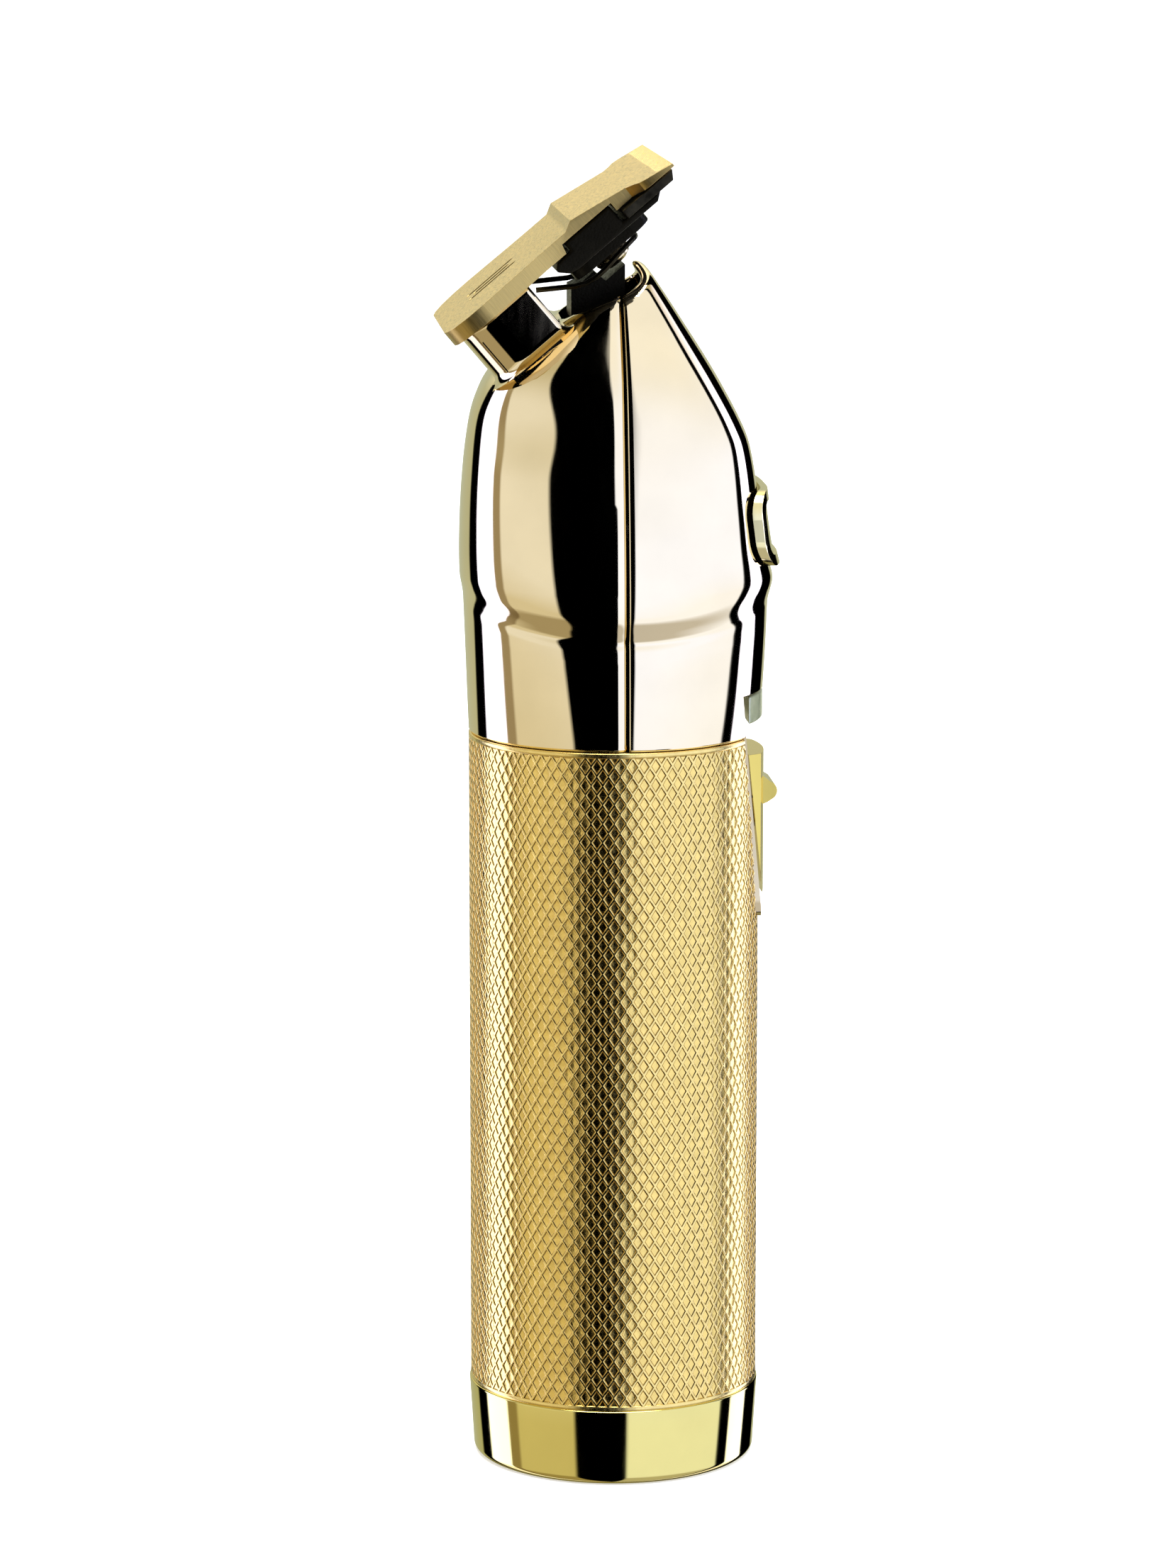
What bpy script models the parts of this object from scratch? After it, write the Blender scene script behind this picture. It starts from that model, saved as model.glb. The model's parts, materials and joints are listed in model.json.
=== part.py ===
"""A cordless T-blade hair trimmer with a knurled metal barrel, a polished two-piece head and a working drive.

Every length here is in millimetres, and MM turns it into metres when a mesh is built. The origin is the
centre of the flat base, +Z runs up the barrel's axis, and +X points to the front, where the thumb switch is.
"""

import math

import bmesh
import bpy
from mathutils import Vector

MM = 0.001
GAP = 0.3  # clearance left between neighbouring pieces

# Barrel and base
BARREL_RADIUS = 17.5
BARREL_WALL = 1.5
RING_TOP = 9.3
SLEEVE_BOTTOM = 9.6
SLEEVE_TOP = 89.3
END_PLATE_RADIUS = 14.5
END_PLATE_THICKNESS = 3.0

# Head shells: half-widths at each level, to the front, to the back and to the side. A level is a line round
# the head whose height is given at the seam. Near the waist it climbs towards the front and the back.
HEAD_BOTTOM = 89.6
SHELL_WALL = 1.5
FRONT_HALF_WIDTHS = (
    (89.6, 17.5), (96.4, 18.05), (99.3, 18.25), (102.0, 18.35), (102.8, 18.4), (104.5, 18.7), (106.0, 18.87),
    (107.6, 18.8), (109.6, 18.4), (112.6, 17.75), (117.6, 17.0), (122.8, 16.2), (126.2, 15.25), (133.0, 11.7),
    (139.8, 7.45), (144.0, 4.7), (146.4, 3.0),
)
BACK_HALF_WIDTHS = (
    (89.6, 17.5), (96.4, 17.8), (99.3, 17.95), (102.0, 18.08), (103.4, 18.15), (105.8, 18.43), (107.4, 18.53),
    (112.9, 18.55), (119.7, 18.25), (126.5, 17.5), (129.9, 16.6), (133.2, 14.7), (136.3, 10.9), (139.4, 6.6),
    (143.0, 2.4),
)
SIDE_HALF_WIDTHS = (
    (89.6, 17.5), (96.0, 17.35), (101.4, 17.12), (102.3, 16.9), (103.2, 17.1), (105.4, 17.6), (112.0, 17.2),
    (118.0, 16.4), (125.0, 15.2), (131.6, 13.6), (138.0, 10.7), (142.4, 8.3), (146.4, 5.6),
)
# How square the sections are: 2 is an ellipse. They are round at the barrel and boxy under the blade.
FRONT_POWERS = ((89.6, 2.0), (103.0, 2.3), (112.0, 3.0), (121.6, 3.4), (130.0, 3.9), (146.4, 3.8))
BACK_POWERS = (
    (89.6, 2.0), (103.0, 2.2), (112.0, 2.35), (121.6, 2.4), (128.6, 2.3), (135.6, 3.4), (143.0, 4.5),
)
FRONT_CENTRE_SHIFT = 2.5  # how far behind the seam the upper front sections have their centre
SHIFT_STARTS = 99.6
SHIFT_RUN = 14.0
RIM_HEIGHT_AT_SEAM = 142.4
RIM_RISE_TO_FRONT = 3.6
RIM_DROP_TO_BACK = 3.1
SEAM_X = 0.2
WAIST_HEIGHT = 102.3  # at the seam
WAIST_CLIMB = 3.1
WAIST_REACH = 6.0

# Flat tongue of the front shell, which runs down over the barrel and carries the switch
TONGUE_TOP = 95.0
TONGUE_BOTTOM = 66.8
TONGUE_FLARE = 0.19  # how much each side leans out per unit of height
TONGUE_INNER_X = 13.4
FACET_X_AT_TOP = 14.95
FACET_X_AT_BOTTOM = 17.65
FACET_TOP = 91.0
LENS_TOP = 95.0
SLIDER_RADIUS = 18.1
SLIDER_TOP = 87.2
SLIDER_BOTTOM = 70.0
SLIDER_TRAVEL = 3.0

# Blade: its own frame has +X towards the teeth, +Z outwards, and its origin on the toothed edge
BLADE_ANGLE = math.radians(40.4)
TOOTH_EDGE = (5.32, 0.0, 158.37)
T_HALF_WIDTH = 18.85
HEEL_THICKNESS = 1.95
STEP_HEIGHT = 2.65
TIP_THICKNESS = 0.35
TOOTH_PITCH = 1.3
TOOTH_GAP = 0.5
TOOTH_DEPTH = 2.0
CUTTER_HALF_WIDTH = 17.3

# Drive: an eccentric pin on the motor rocks a lever, and the lever shuttles the moving blade
ECCENTRIC_OFFSET = 0.4
PIVOT = (0.0, 0.0, 126.0)
PIVOT_PIN_RADIUS = 1.2
PIVOT_BORE_RADIUS = 1.5
STUD_X = -11.8

SEGMENTS = 28
SMOOTH_SEGMENTS = 56


def clear_scene():
    for obj in list(bpy.data.objects):
        bpy.data.objects.remove(obj, do_unlink=True)


# ---------------------------------------------------------------- finishes


def principled(name, colour, roughness, metallic):
    material = bpy.data.materials.new(name + "_finish")
    material.use_nodes = True
    shader = material.node_tree.nodes["Principled BSDF"]
    shader.inputs["Base Color"].default_value = (*colour, 1.0)
    shader.inputs["Roughness"].default_value = roughness
    shader.inputs["Metallic"].default_value = metallic
    return material


def champagne_gold(name):
    return principled(name, (0.86, 0.74, 0.50), 0.08, 1.0)


def yellow_gold(name):
    return principled(name, (0.83, 0.66, 0.27), 0.14, 1.0)


def satin_gold(name):
    return principled(name, (0.80, 0.61, 0.22), 0.32, 1.0)


def blade_gold(name):
    return principled(name, (0.84, 0.72, 0.44), 0.38, 1.0)


def black_plastic(name):
    return principled(name, (0.012, 0.012, 0.013), 0.42, 0.0)


def black_steel(name):
    return principled(name, (0.05, 0.055, 0.055), 0.35, 1.0)


def bright_steel(name):
    return principled(name, (0.60, 0.60, 0.58), 0.25, 1.0)


def contact_metal(name):
    return principled(name, (0.80, 0.62, 0.30), 0.2, 1.0)


def grey_plastic(name):
    return principled(name, (0.16, 0.16, 0.17), 0.5, 0.0)


def battery_wrap(name):
    return principled(name, (0.06, 0.22, 0.42), 0.35, 0.0)


def board_green(name):
    return principled(name, (0.02, 0.18, 0.08), 0.4, 0.0)


def magnet_grey(name):
    return principled(name, (0.12, 0.12, 0.13), 0.6, 0.0)


def milky_lens(name):
    return principled(name, (0.62, 0.68, 0.62), 0.15, 0.0)


def red_insulation(name):
    return principled(name, (0.55, 0.03, 0.03), 0.4, 0.0)


# ---------------------------------------------------------------- shapes: (points, faces) in millimetres


def prism(outline, low, high, axis):
    """Extrudes an outline along an axis. Its points are (y, z) for "x", (x, z) for "y" and (x, y) for "z"."""
    place = {
        "x": lambda a, b, w: (w, a, b),
        "y": lambda a, b, w: (a, w, b),
        "z": lambda a, b, w: (a, b, w),
    }[axis]
    count = len(outline)
    points = [place(a, b, w) for w in (low, high) for a, b in outline]
    faces = [tuple(range(count)), tuple(range(count, 2 * count))]
    for i in range(count):
        j = (i + 1) % count
        faces.append((i, j, j + count, i + count))
    return points, faces


def box(x, y, z):
    """A box from three (low, high) pairs."""
    return prism([(x[0], y[0]), (x[1], y[0]), (x[1], y[1]), (x[0], y[1])], z[0], z[1], "z")


def turned(profile, segments=SEGMENTS, centre=(0.0, 0.0)):
    """Turns a closed profile of (radius, height) points about a vertical axis. A zero radius is one point."""
    points = []
    rows = []
    for radius, height in profile:
        count = 1 if radius == 0 else segments
        rows.append([len(points) + i % count for i in range(segments)])
        for i in range(count):
            angle = 2 * math.pi * i / segments
            x, y = radius * math.cos(angle), radius * math.sin(angle)
            points.append((centre[0] + x, centre[1] + y, height))
    faces = []
    for row, after in zip(rows, rows[1:] + rows[:1]):
        for i in range(segments):
            j = (i + 1) % segments
            corners = list(dict.fromkeys((row[i], row[j], after[j], after[i])))
            if len(corners) > 2:
                faces.append(tuple(corners))
    return points, faces


def rod(radius, low, high, centre=(0.0, 0.0), segments=SEGMENTS):
    return turned([(0, low), (radius, low), (radius, high), (0, high)], segments, centre)


def cross_rod(radius, low, high, centre, segments=SEGMENTS):
    """A round rod along X, centred on (y, z)."""
    return prism(arc(centre, radius, 0, 2 * math.pi, segments)[:-1], low, high, "x")


def loft(loops, closed=False):
    """Skins a row of equally long loops, and caps both ends unless the row closes on itself."""
    size = len(loops[0])
    points = [point for loop in loops for point in loop]
    faces = []
    last = len(loops) if closed else len(loops) - 1
    for k in range(last):
        here = k * size
        there = (k + 1) % len(loops) * size
        for i in range(size):
            j = (i + 1) % size
            faces.append((here + i, here + j, there + j, there + i))
    if not closed:
        faces.append(tuple(range(size)))
        faces.append(tuple(range(len(points) - size, len(points))))
    return points, faces


def together(*shapes):
    """Several separate shapes as one, for a cutter."""
    points = []
    faces = []
    for shape_points, shape_faces in shapes:
        start = len(points)
        points.extend(shape_points)
        faces.extend(tuple(start + i for i in face) for face in shape_faces)
    return points, faces


def arc(centre, radius, start, end, steps):
    """Points along an arc, with both of its ends."""
    angles = [start + (end - start) * i / steps for i in range(steps + 1)]
    return [(centre[0] + radius * math.cos(a), centre[1] + radius * math.sin(a)) for a in angles]


def rounded_rectangle(x, y, radius, steps=5):
    """The outline of a rectangle from two (low, high) pairs, with rounded corners."""
    corners = ((x[1], y[1]), (x[0], y[1]), (x[0], y[0]), (x[1], y[0]))
    inwards = ((-1, -1), (1, -1), (1, 1), (-1, 1))
    outline = []
    for k, (corner, inward) in enumerate(zip(corners, inwards)):
        centre = (corner[0] + inward[0] * radius, corner[1] + inward[1] * radius)
        outline += arc(centre, radius, k * math.pi / 2, (k + 1) * math.pi / 2, steps)
    return outline


def through(points, at):
    """A smooth curve through rising (position, value) points, read at one position."""
    last = len(points) - 1
    k = next((i for i in range(last) if at <= points[i + 1][0]), last - 1)
    slopes = []
    for i in (k, k + 1):
        before = points[max(i - 1, 0)]
        after = points[min(i + 1, last)]
        slopes.append((after[1] - before[1]) / (after[0] - before[0]))
    width = points[k + 1][0] - points[k][0]
    s = (at - points[k][0]) / width
    if s > 1:
        return points[k + 1][1] + slopes[1] * width * (s - 1)
    return (
        (1 + 2 * s) * (1 - s) ** 2 * points[k][1]
        + s * (1 - s) ** 2 * width * slopes[0]
        + s * s * (3 - 2 * s) * points[k + 1][1]
        + s * s * (s - 1) * width * slopes[1]
    )


# ---------------------------------------------------------------- objects


def add_object(name, shape, parent=None, pivot=(0.0, 0.0, 0.0)):
    """Makes an object of a shape, with its origin at the pivot and its faces pointing out."""
    points, faces = shape
    mesh = bpy.data.meshes.new(name)
    mesh.from_pydata([(Vector(point) - Vector(pivot)) * MM for point in points], [], faces)
    surface = bmesh.new()
    surface.from_mesh(mesh)
    bmesh.ops.recalc_face_normals(surface, faces=surface.faces)
    surface.to_mesh(mesh)
    surface.free()
    obj = bpy.data.objects.new(name, mesh)
    obj.location = Vector(pivot) * MM
    obj.parent = parent
    bpy.context.scene.collection.objects.link(obj)
    return obj


def add_part(name, shape, finish, parent=None, pivot=(0.0, 0.0, 0.0), sharp_degrees=35):
    obj = add_object(name, shape, parent, pivot)
    obj.data.materials.append(finish(name))
    obj.data.shade_smooth()
    obj.data.set_sharp_from_angle(angle=math.radians(sharp_degrees))
    return obj


def combine(obj, operation, shape, label, parent=None):
    """Joins a helper shape to an object, cuts it away or keeps what is inside it."""
    helper = add_object(f"{obj.name}_{label}_helper", shape, parent)
    helper.hide_render = True
    helper.display_type = "WIRE"
    modifier = obj.modifiers.new(label, "BOOLEAN")
    modifier.operation = operation
    modifier.object = helper
    return helper


def add_wire(name, path, radius, finish, parent=None):
    """A round wire through the points of a path."""
    curve = bpy.data.curves.new(name, "CURVE")
    curve.dimensions = "3D"
    curve.bevel_depth = radius * MM
    curve.bevel_resolution = 1
    curve.use_fill_caps = True
    spline = curve.splines.new("POLY")
    spline.points.add(len(path) - 1)
    for point, place in zip(spline.points, path):
        point.co = (*(Vector(place) * MM), 1.0)
    curve.materials.append(finish(name))
    obj = bpy.data.objects.new(name, curve)
    obj.parent = parent
    bpy.context.scene.collection.objects.link(obj)
    return obj


def add_blade_frame():
    frame = bpy.data.objects.new("blade_frame", None)
    frame.location = Vector(TOOTH_EDGE) * MM
    frame.rotation_euler = (0.0, -BLADE_ANGLE, 0.0)
    bpy.context.scene.collection.objects.link(frame)
    return frame


# ---------------------------------------------------------------- base and barrel


def add_tail_ring():
    bore = BARREL_RADIUS - BARREL_WALL
    lip = END_PLATE_RADIUS + GAP
    corner = 1.0
    foot, rim = BARREL_RADIUS - 0.35, BARREL_RADIUS + 0.15
    rounding = arc((foot - corner, corner), corner, -math.pi / 2, 0, 5)
    profile = [(lip, 0)] + rounding + [(rim, RING_TOP - 0.4), (rim - 0.35, RING_TOP)]
    profile += [(bore, RING_TOP), (bore, END_PLATE_THICKNESS + 1.5), (lip, END_PLATE_THICKNESS + 0.5)]
    return add_part("tail_ring", turned(profile, SMOOTH_SEGMENTS), yellow_gold)


CHARGE_SOCKET_X = -7.5
SCREW_PLACES = (("left", 11.2), ("right", -11.2))
CONTACT_PLACES = (("left", 5.5), ("right", -5.5))
CONTACT_X = 6.0


def add_end_plate():
    profile = [(0, 0), (END_PLATE_RADIUS - 0.3, 0), (END_PLATE_RADIUS, 0.3)]
    profile += [(END_PLATE_RADIUS, END_PLATE_THICKNESS), (0, END_PLATE_THICKNESS)]
    plate = add_part("end_plate", turned(profile, 48), black_plastic)
    below, above = -1.0, END_PLATE_THICKNESS + 1.0
    holes = [rod(3.6, below, above, (CHARGE_SOCKET_X, 0))]
    stepped = [(0, below), (2.2, below), (2.2, 1.9), (1.2, 1.9), (1.2, above), (0, above)]
    for _, y in SCREW_PLACES:
        holes.append(turned(stepped, 24, (0, y)))
    for _, y in CONTACT_PLACES:
        holes.append(rod(1.9, below, above, (CONTACT_X, y), 24))
    combine(plate, "DIFFERENCE", together(*holes), "holes")
    return plate


def add_base_screw(side, y):
    profile = [(0, 0.3), (1.9, 0.3), (1.9, 1.6), (0.9, 1.6), (0.9, 7.0), (0, 7.6)]
    screw = add_part("base_screw_" + side, turned(profile, 24, (0, y)), bright_steel)
    slot = box((-2.0, 2.0), (y - 0.25, y + 0.25), (0, 0.9))
    combine(screw, "DIFFERENCE", slot, "slot")
    return screw


def add_charge_socket():
    top = END_PLATE_THICKNESS + 9.5
    profile = [(2.8, 0.4), (3.3, 0.4), (3.3, END_PLATE_THICKNESS + GAP), (4.6, END_PLATE_THICKNESS + GAP)]
    profile += [(4.6, top), (0, top), (0, top - 1.5), (2.8, top - 1.5)]
    return add_part("charge_socket", turned(profile, 24, (CHARGE_SOCKET_X, 0)), black_plastic)


def add_socket_pin():
    profile = [(0, 1.6), (0.6, 1.9), (0.8, 2.3), (0.8, 10.6), (0, 10.6)]
    return add_part("socket_pin", turned(profile, 16, (CHARGE_SOCKET_X, 0)), bright_steel)


def add_charge_contact(side, y):
    profile = [(0, 0.2), (1.3, 0.2), (1.6, 0.5), (1.6, 5.5), (0, 5.5)]
    return add_part("charge_contact_" + side, turned(profile, 24, (CONTACT_X, y)), contact_metal)


def tongue_outline(clearance, top):
    """The tongue seen from the front, as (y, z) points: wide at the head, narrow and rounded at its end."""
    low_half_width = 4.7 + clearance
    top_half_width = low_half_width + TONGUE_FLARE * (top - TONGUE_BOTTOM)
    corner = 2.4
    low = TONGUE_BOTTOM - clearance
    right = arc((low_half_width - corner, low + corner), corner, -math.pi / 2, 0, 5)
    left = [(-y, z) for y, z in reversed(right)]
    return [(-top_half_width, top)] + left + right + [(top_half_width, top)]


def add_barrel_sleeve():
    outer = BARREL_RADIUS
    body = BARREL_RADIUS - 0.12
    bore = BARREL_RADIUS - BARREL_WALL
    low, high = SLEEVE_BOTTOM, SLEEVE_TOP
    profile = [(bore, low), (outer - 0.2, low), (outer, low + 0.2), (outer, low + 0.6), (body, low + 0.8)]
    profile += [(body, high - 1.0), (outer, high - 0.8), (outer, high - 0.2), (outer - 0.2, high)]
    profile += [(bore, high)]
    sleeve = add_part("barrel_sleeve", turned(profile, SMOOTH_SEGMENTS), satin_gold)
    combine(sleeve, "DIFFERENCE", prism(tongue_outline(GAP, TONGUE_TOP), 8.0, 22.0, "x"), "notch")
    return sleeve


# ---------------------------------------------------------------- inside the barrel


def add_chassis():
    opening = math.radians(55)
    outer, inner = 14.2, 12.9
    low, high = END_PLATE_THICKNESS + GAP, 88.0
    channel = arc((0, 0), outer, opening, 2 * math.pi - opening, 24)
    channel += arc((0, 0), inner, 2 * math.pi - opening, opening, 24)
    chassis = add_part("chassis", prism(channel, low, high, "z"), grey_plastic)
    chord = math.acos(6.5 / 13.5)
    rib = arc((0, 0), 13.5, chord, 2 * math.pi - chord, 20)
    for label, height in (("lower_rib", 14.0), ("upper_rib", 69.0)):
        combine(chassis, "UNION", prism(rib, height, height + 1.5, "z"), label)
    return chassis


BATTERY_X = -2.5


def add_battery_cell():
    profile = [(0, 16.2), (8.6, 16.2), (9.0, 16.6), (9.0, 64.6), (8.6, 65.2), (3.0, 65.2)]
    profile += [(3.0, 66.2), (0, 66.2)]
    return add_part("battery_cell", turned(profile, centre=(BATTERY_X, 0)), battery_wrap)


def add_battery_tab(end, height):
    shape = box((BATTERY_X - 3, BATTERY_X + 7), (-2.5, 2.5), (height, height + 0.3))
    return add_part("battery_tab_" + end, shape, bright_steel)


BOARD_X = (7.6, 8.8)


def add_circuit_board():
    outline = rounded_rectangle((-8.5, 8.5), (14.0, 88.0), 1.0, 3)
    return add_part("circuit_board", prism(outline, BOARD_X[0], BOARD_X[1], "x"), board_green)


def add_switch_module():
    front = BOARD_X[1] + GAP
    return add_part("switch_module", box((front, front + 2.5), (-3.2, 3.2), (74.0, 86.0)), black_plastic)


def add_status_led():
    front = BOARD_X[1] + GAP
    return add_part("status_led", box((front, front + 1.0), (-1.2, 1.2), (86.4, 87.7)), milky_lens)


def add_join_collar():
    profile = [(14.5, 84.0), (15.3, 84.0), (15.5, 84.3), (15.5, 94.7), (15.3, 95.0), (14.5, 95.0)]
    collar = add_part("join_collar", turned(profile, 36), black_plastic)
    combine(collar, "DIFFERENCE", box((5.0, 20.0), (-10.8, 10.8), (80.0, 100.0)), "notch")
    return collar


def add_lead(kind, finish, side):
    """A short lead from the cell's upper tab to the board."""
    y = side * 3.2
    path = [(1.0, y, 67.8), (4.0, y, 68.1), (6.2, y, 67.6), (6.9, y, 66.4), (6.9, y, 62.0)]
    return add_wire("battery_lead_" + kind, path, 0.4, finish)


def add_motor_wire(kind, finish, side):
    """A wire from the board's front up to the motor's end cap."""
    y = side * 6.0
    path = [(9.8, y, 78.0), (9.8, y, 87.0), (9.2, y, 88.8), (7.0, side * 5.5, 90.0), (4.0, side * 4.5, 90.4)]
    return add_wire("motor_wire_" + kind, path, 0.45, finish)


# ---------------------------------------------------------------- motor and drive

MOTOR_TOP = 112.0
PLATE_TOP = 114.0
MOTOR_SCREW_Y = 6.6


def add_motor_can():
    profile = [(9.4, 92.6), (10.0, 92.6), (10.0, 111.4), (9.4, MOTOR_TOP), (1.6, MOTOR_TOP)]
    profile += [(1.6, 111.2), (9.4, 111.2)]
    can = add_part("motor_can", turned(profile), bright_steel)
    holes = [rod(1.15, 108.0, 116.0, (0, side * MOTOR_SCREW_Y), 16) for side in (-1, 1)]
    combine(can, "DIFFERENCE", together(*holes), "screw_holes")
    return can


def add_motor_cap():
    profile = [(0, 91.3), (9.9, 91.3), (9.9, 92.2), (9.0, 92.2), (9.0, 93.6), (0, 93.6)]
    return add_part("motor_cap", turned(profile), black_plastic)


def add_motor_magnet(side, turn):
    half = math.radians(62)
    outline = arc((0, 0), 9.0, turn - half, turn + half, 12) + arc((0, 0), 7.9, turn + half, turn - half, 12)
    return add_part("motor_magnet_" + side, prism(outline, 95.0, 107.5, "z"), magnet_grey)


def add_motor_plate():
    outline = arc((0, 0), 14.2, 0, 2 * math.pi, SEGMENTS)[:-1]
    plate = add_part("motor_plate", prism(outline, MOTOR_TOP + GAP, PLATE_TOP, "z"), black_plastic)
    holes = [rod(1.15, 110.0, 116.0, (0, side * MOTOR_SCREW_Y), 16) for side in (-1, 1)]
    holes.append(rod(4.2, 110.0, 116.0))
    combine(plate, "DIFFERENCE", together(*holes), "holes")
    return plate


def add_motor_screw(side, y):
    head = PLATE_TOP + GAP
    profile = [(0, 109.6), (0.8, 109.6), (0.8, head), (1.7, head), (1.7, head + 1.1), (0, head + 1.3)]
    return add_part("motor_screw_" + side, turned(profile, 16, (0, y)), bright_steel)


ROTOR_PIN_LOW = 116.8


def add_motor_rotor():
    """Shaft, armature and cam in one, turning about the vertical axis, with the eccentric pin on top."""
    profile = [(0, 94.2), (0.8, 94.2), (0.8, 96.0), (7.4, 96.0), (7.4, 106.5), (1.2, 106.5), (1.2, 114.4)]
    profile += [(3.2, 114.4), (3.2, ROTOR_PIN_LOW + 0.3), (0, ROTOR_PIN_LOW + 0.3)]
    rotor = add_part("motor_rotor", turned(profile, 24), bright_steel)
    pin = rod(0.8, ROTOR_PIN_LOW, 121.6, (ECCENTRIC_OFFSET, 0), 16)
    combine(rotor, "UNION", pin, "eccentric_pin")
    return rotor


def add_lever_bracket():
    outline = arc((0, 0), 13.2, 0, 2 * math.pi, SEGMENTS)[:-1]
    base = PLATE_TOP + GAP
    bracket = add_part("lever_bracket", prism(outline, base, base + 1.7, "z"), grey_plastic)
    upright = [(-4.2, base + 0.5), (4.2, base + 0.5), (3.6, PIVOT[2])]
    upright += arc((0, PIVOT[2]), 3.6, 0, math.pi, 8)[1:]
    for label, side in (("front", 1), ("back", -1)):
        low, high = sorted((side * 5.2, side * 7.2))
        combine(bracket, "UNION", prism(upright, low, high, "x"), label + "_upright")
    holes = [rod(2.0, base - 2, base + 4, (0, side * MOTOR_SCREW_Y), 16) for side in (-1, 1)]
    holes.append(rod(4.2, base - 2, base + 4))
    combine(bracket, "DIFFERENCE", together(*holes), "holes")
    combine(bracket, "DIFFERENCE", cross_rod(PIVOT_BORE_RADIUS, -9, 9, (0, PIVOT[2]), 24), "bore")
    return bracket


def add_pivot_pin():
    return add_part("pivot_pin", cross_rod(PIVOT_PIN_RADIUS, -7.8, 7.8, (0, PIVOT[2]), 24), bright_steel)


def add_drive_lever():
    """Rocks about the pivot pin. A fork straddles the eccentric pin and a neck rises out of the mouth."""
    neck = [(-3.6, 125.5), (-5.0, 132.0), (-5.4, 137.0), (-5.4, 143.2), (-4.1, 143.8), (-2.7, 145.05)]
    neck += [(-1.3, 143.9)]
    neck += [(1.0, 145.85), (1.0, 139.0), (2.0, 132.0), (3.4, 125.5)]
    lever = add_part("drive_lever", prism(neck, -3.5, 3.5, "y"), black_plastic, pivot=PIVOT)
    hub = cross_rod(3.8, -4.4, 4.4, (0, PIVOT[2]), 24)
    fork_low, fork_high, inner, outer = 118.0, 122.4, 2.3, 3.9
    fork = [(-outer, PIVOT[2] - 1), (-outer, fork_low), (-inner, fork_low), (-inner, fork_high)]
    fork += [(inner, fork_high), (inner, fork_low), (outer, fork_low), (outer, PIVOT[2] - 1)]
    combine(lever, "UNION", hub, "hub")
    combine(lever, "UNION", prism(fork, -2.4, 2.4, "x"), "fork")
    combine(lever, "DIFFERENCE", cross_rod(PIVOT_BORE_RADIUS, -9, 9, (0, PIVOT[2]), 24), "bore")
    return lever


def add_drive_stud(frame):
    """The domed gold stud on the lever's neck, whose pin reaches into the slot of the yoke plate."""
    profile = [(0, -6.45), (1.2, -6.4), (2.0, -6.0), (2.35, -5.3), (2.0, -4.6), (0.8, -4.6), (0.8, -3.1)]
    profile += [(0, -3.1)]
    return add_part("drive_stud", turned(profile, 24, (STUD_X, 0)), contact_metal, frame)


# ---------------------------------------------------------------- head shells


def height_of(level, angle):
    """Height of a level at an angle from the middle of its shell."""
    closeness = math.exp(-(((level - WAIST_HEIGHT) / WAIST_REACH) ** 2))
    return level + WAIST_CLIMB * math.cos(angle) ** 2 * closeness


def centre_shift(level, front):
    """Moving the centre of the front sections back turns their flanks a little to the front at the seam."""
    return FRONT_CENTRE_SHIFT * min(max((level - SHIFT_STARTS) / SHIFT_RUN, 0.0), 1.0) if front else 0.0


def rim_height(angle, front):
    """Height of the mouth's rim, from the seam at 90 degrees to the middle of the shell at 0."""
    change = RIM_RISE_TO_FRONT if front else -RIM_DROP_TO_BACK
    return RIM_HEIGHT_AT_SEAM + change * math.cos(angle)


def shell_point(angle, level, front, inset):
    """A point of a head shell. The angle runs from -90 to 90 degrees about the middle of the shell."""
    seam = SEAM_X + GAP / 2 if front else GAP / 2 - SEAM_X
    shift = centre_shift(level, front)
    power = through(FRONT_POWERS if front else BACK_POWERS, level)
    reach = max(through(FRONT_HALF_WIDTHS if front else BACK_HALF_WIDTHS, level) - seam - inset, 0.6) + shift
    side = max(through(SIDE_HALF_WIDTHS, level) - inset, 0.6)
    widest = side / (1 - (shift / reach) ** power) ** (1 / power)
    turn = angle / (math.pi / 2) * math.atan2(side, shift)
    c, s = max(math.cos(turn), 0.0), abs(math.sin(turn))
    radius = ((c / reach) ** power + (s / widest) ** power) ** (-1 / power)
    x = seam - shift + radius * c
    return (x if front else -x, radius * math.sin(turn), height_of(level, angle))


SHELL_LEVELS = (
    89.6, 89.9, 93.0, 96.5, 99.5, 101.4, 102.0, 102.3, 102.7, 103.4, 104.5, 106.0, 108.0, 110.5, 113.5, 117.5,
    121.5, 125.0, 128.0, 130.5, 133.0, 135.5, 138.0, 140.5, 143.0, 145.0, 145.7,
)
INNER_LEVELS = (89.6, 97.0, 102.3, 107.0, 113.5, 121.5, 128.0, 133.0, 138.0, 142.0, 145.6)
NOMINAL_RIM = 146.0
BLEND_HEIGHT = 118.0


def shell_loop(angle, front):
    """The wall's outline in one upright plane: up the outside, over the rim and down the inside."""
    rim = rim_height(angle, front)

    def fitted(level):
        if level < BLEND_HEIGHT:
            return level
        return BLEND_HEIGHT + (level - BLEND_HEIGHT) * (rim - BLEND_HEIGHT) / (NOMINAL_RIM - BLEND_HEIGHT)

    loop = []
    for level in SHELL_LEVELS:
        edge = 0.2 if level in (SHELL_LEVELS[0], SHELL_LEVELS[-1]) else 0.0
        loop.append(shell_point(angle, fitted(level), front, edge))
    for inset in (0.5, 1.0):
        loop.append(shell_point(angle, rim, front, inset))
    for level in reversed(INNER_LEVELS):
        edge = -0.15 if level == INNER_LEVELS[-1] else 0.0
        loop.append(shell_point(angle, fitted(level), front, SHELL_WALL + edge))
    return loop


def shell(front, steps=26):
    angles = [-math.pi / 2 + math.pi * i / steps for i in range(steps + 1)]
    return loft([shell_loop(angle, front) for angle in angles])


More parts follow.
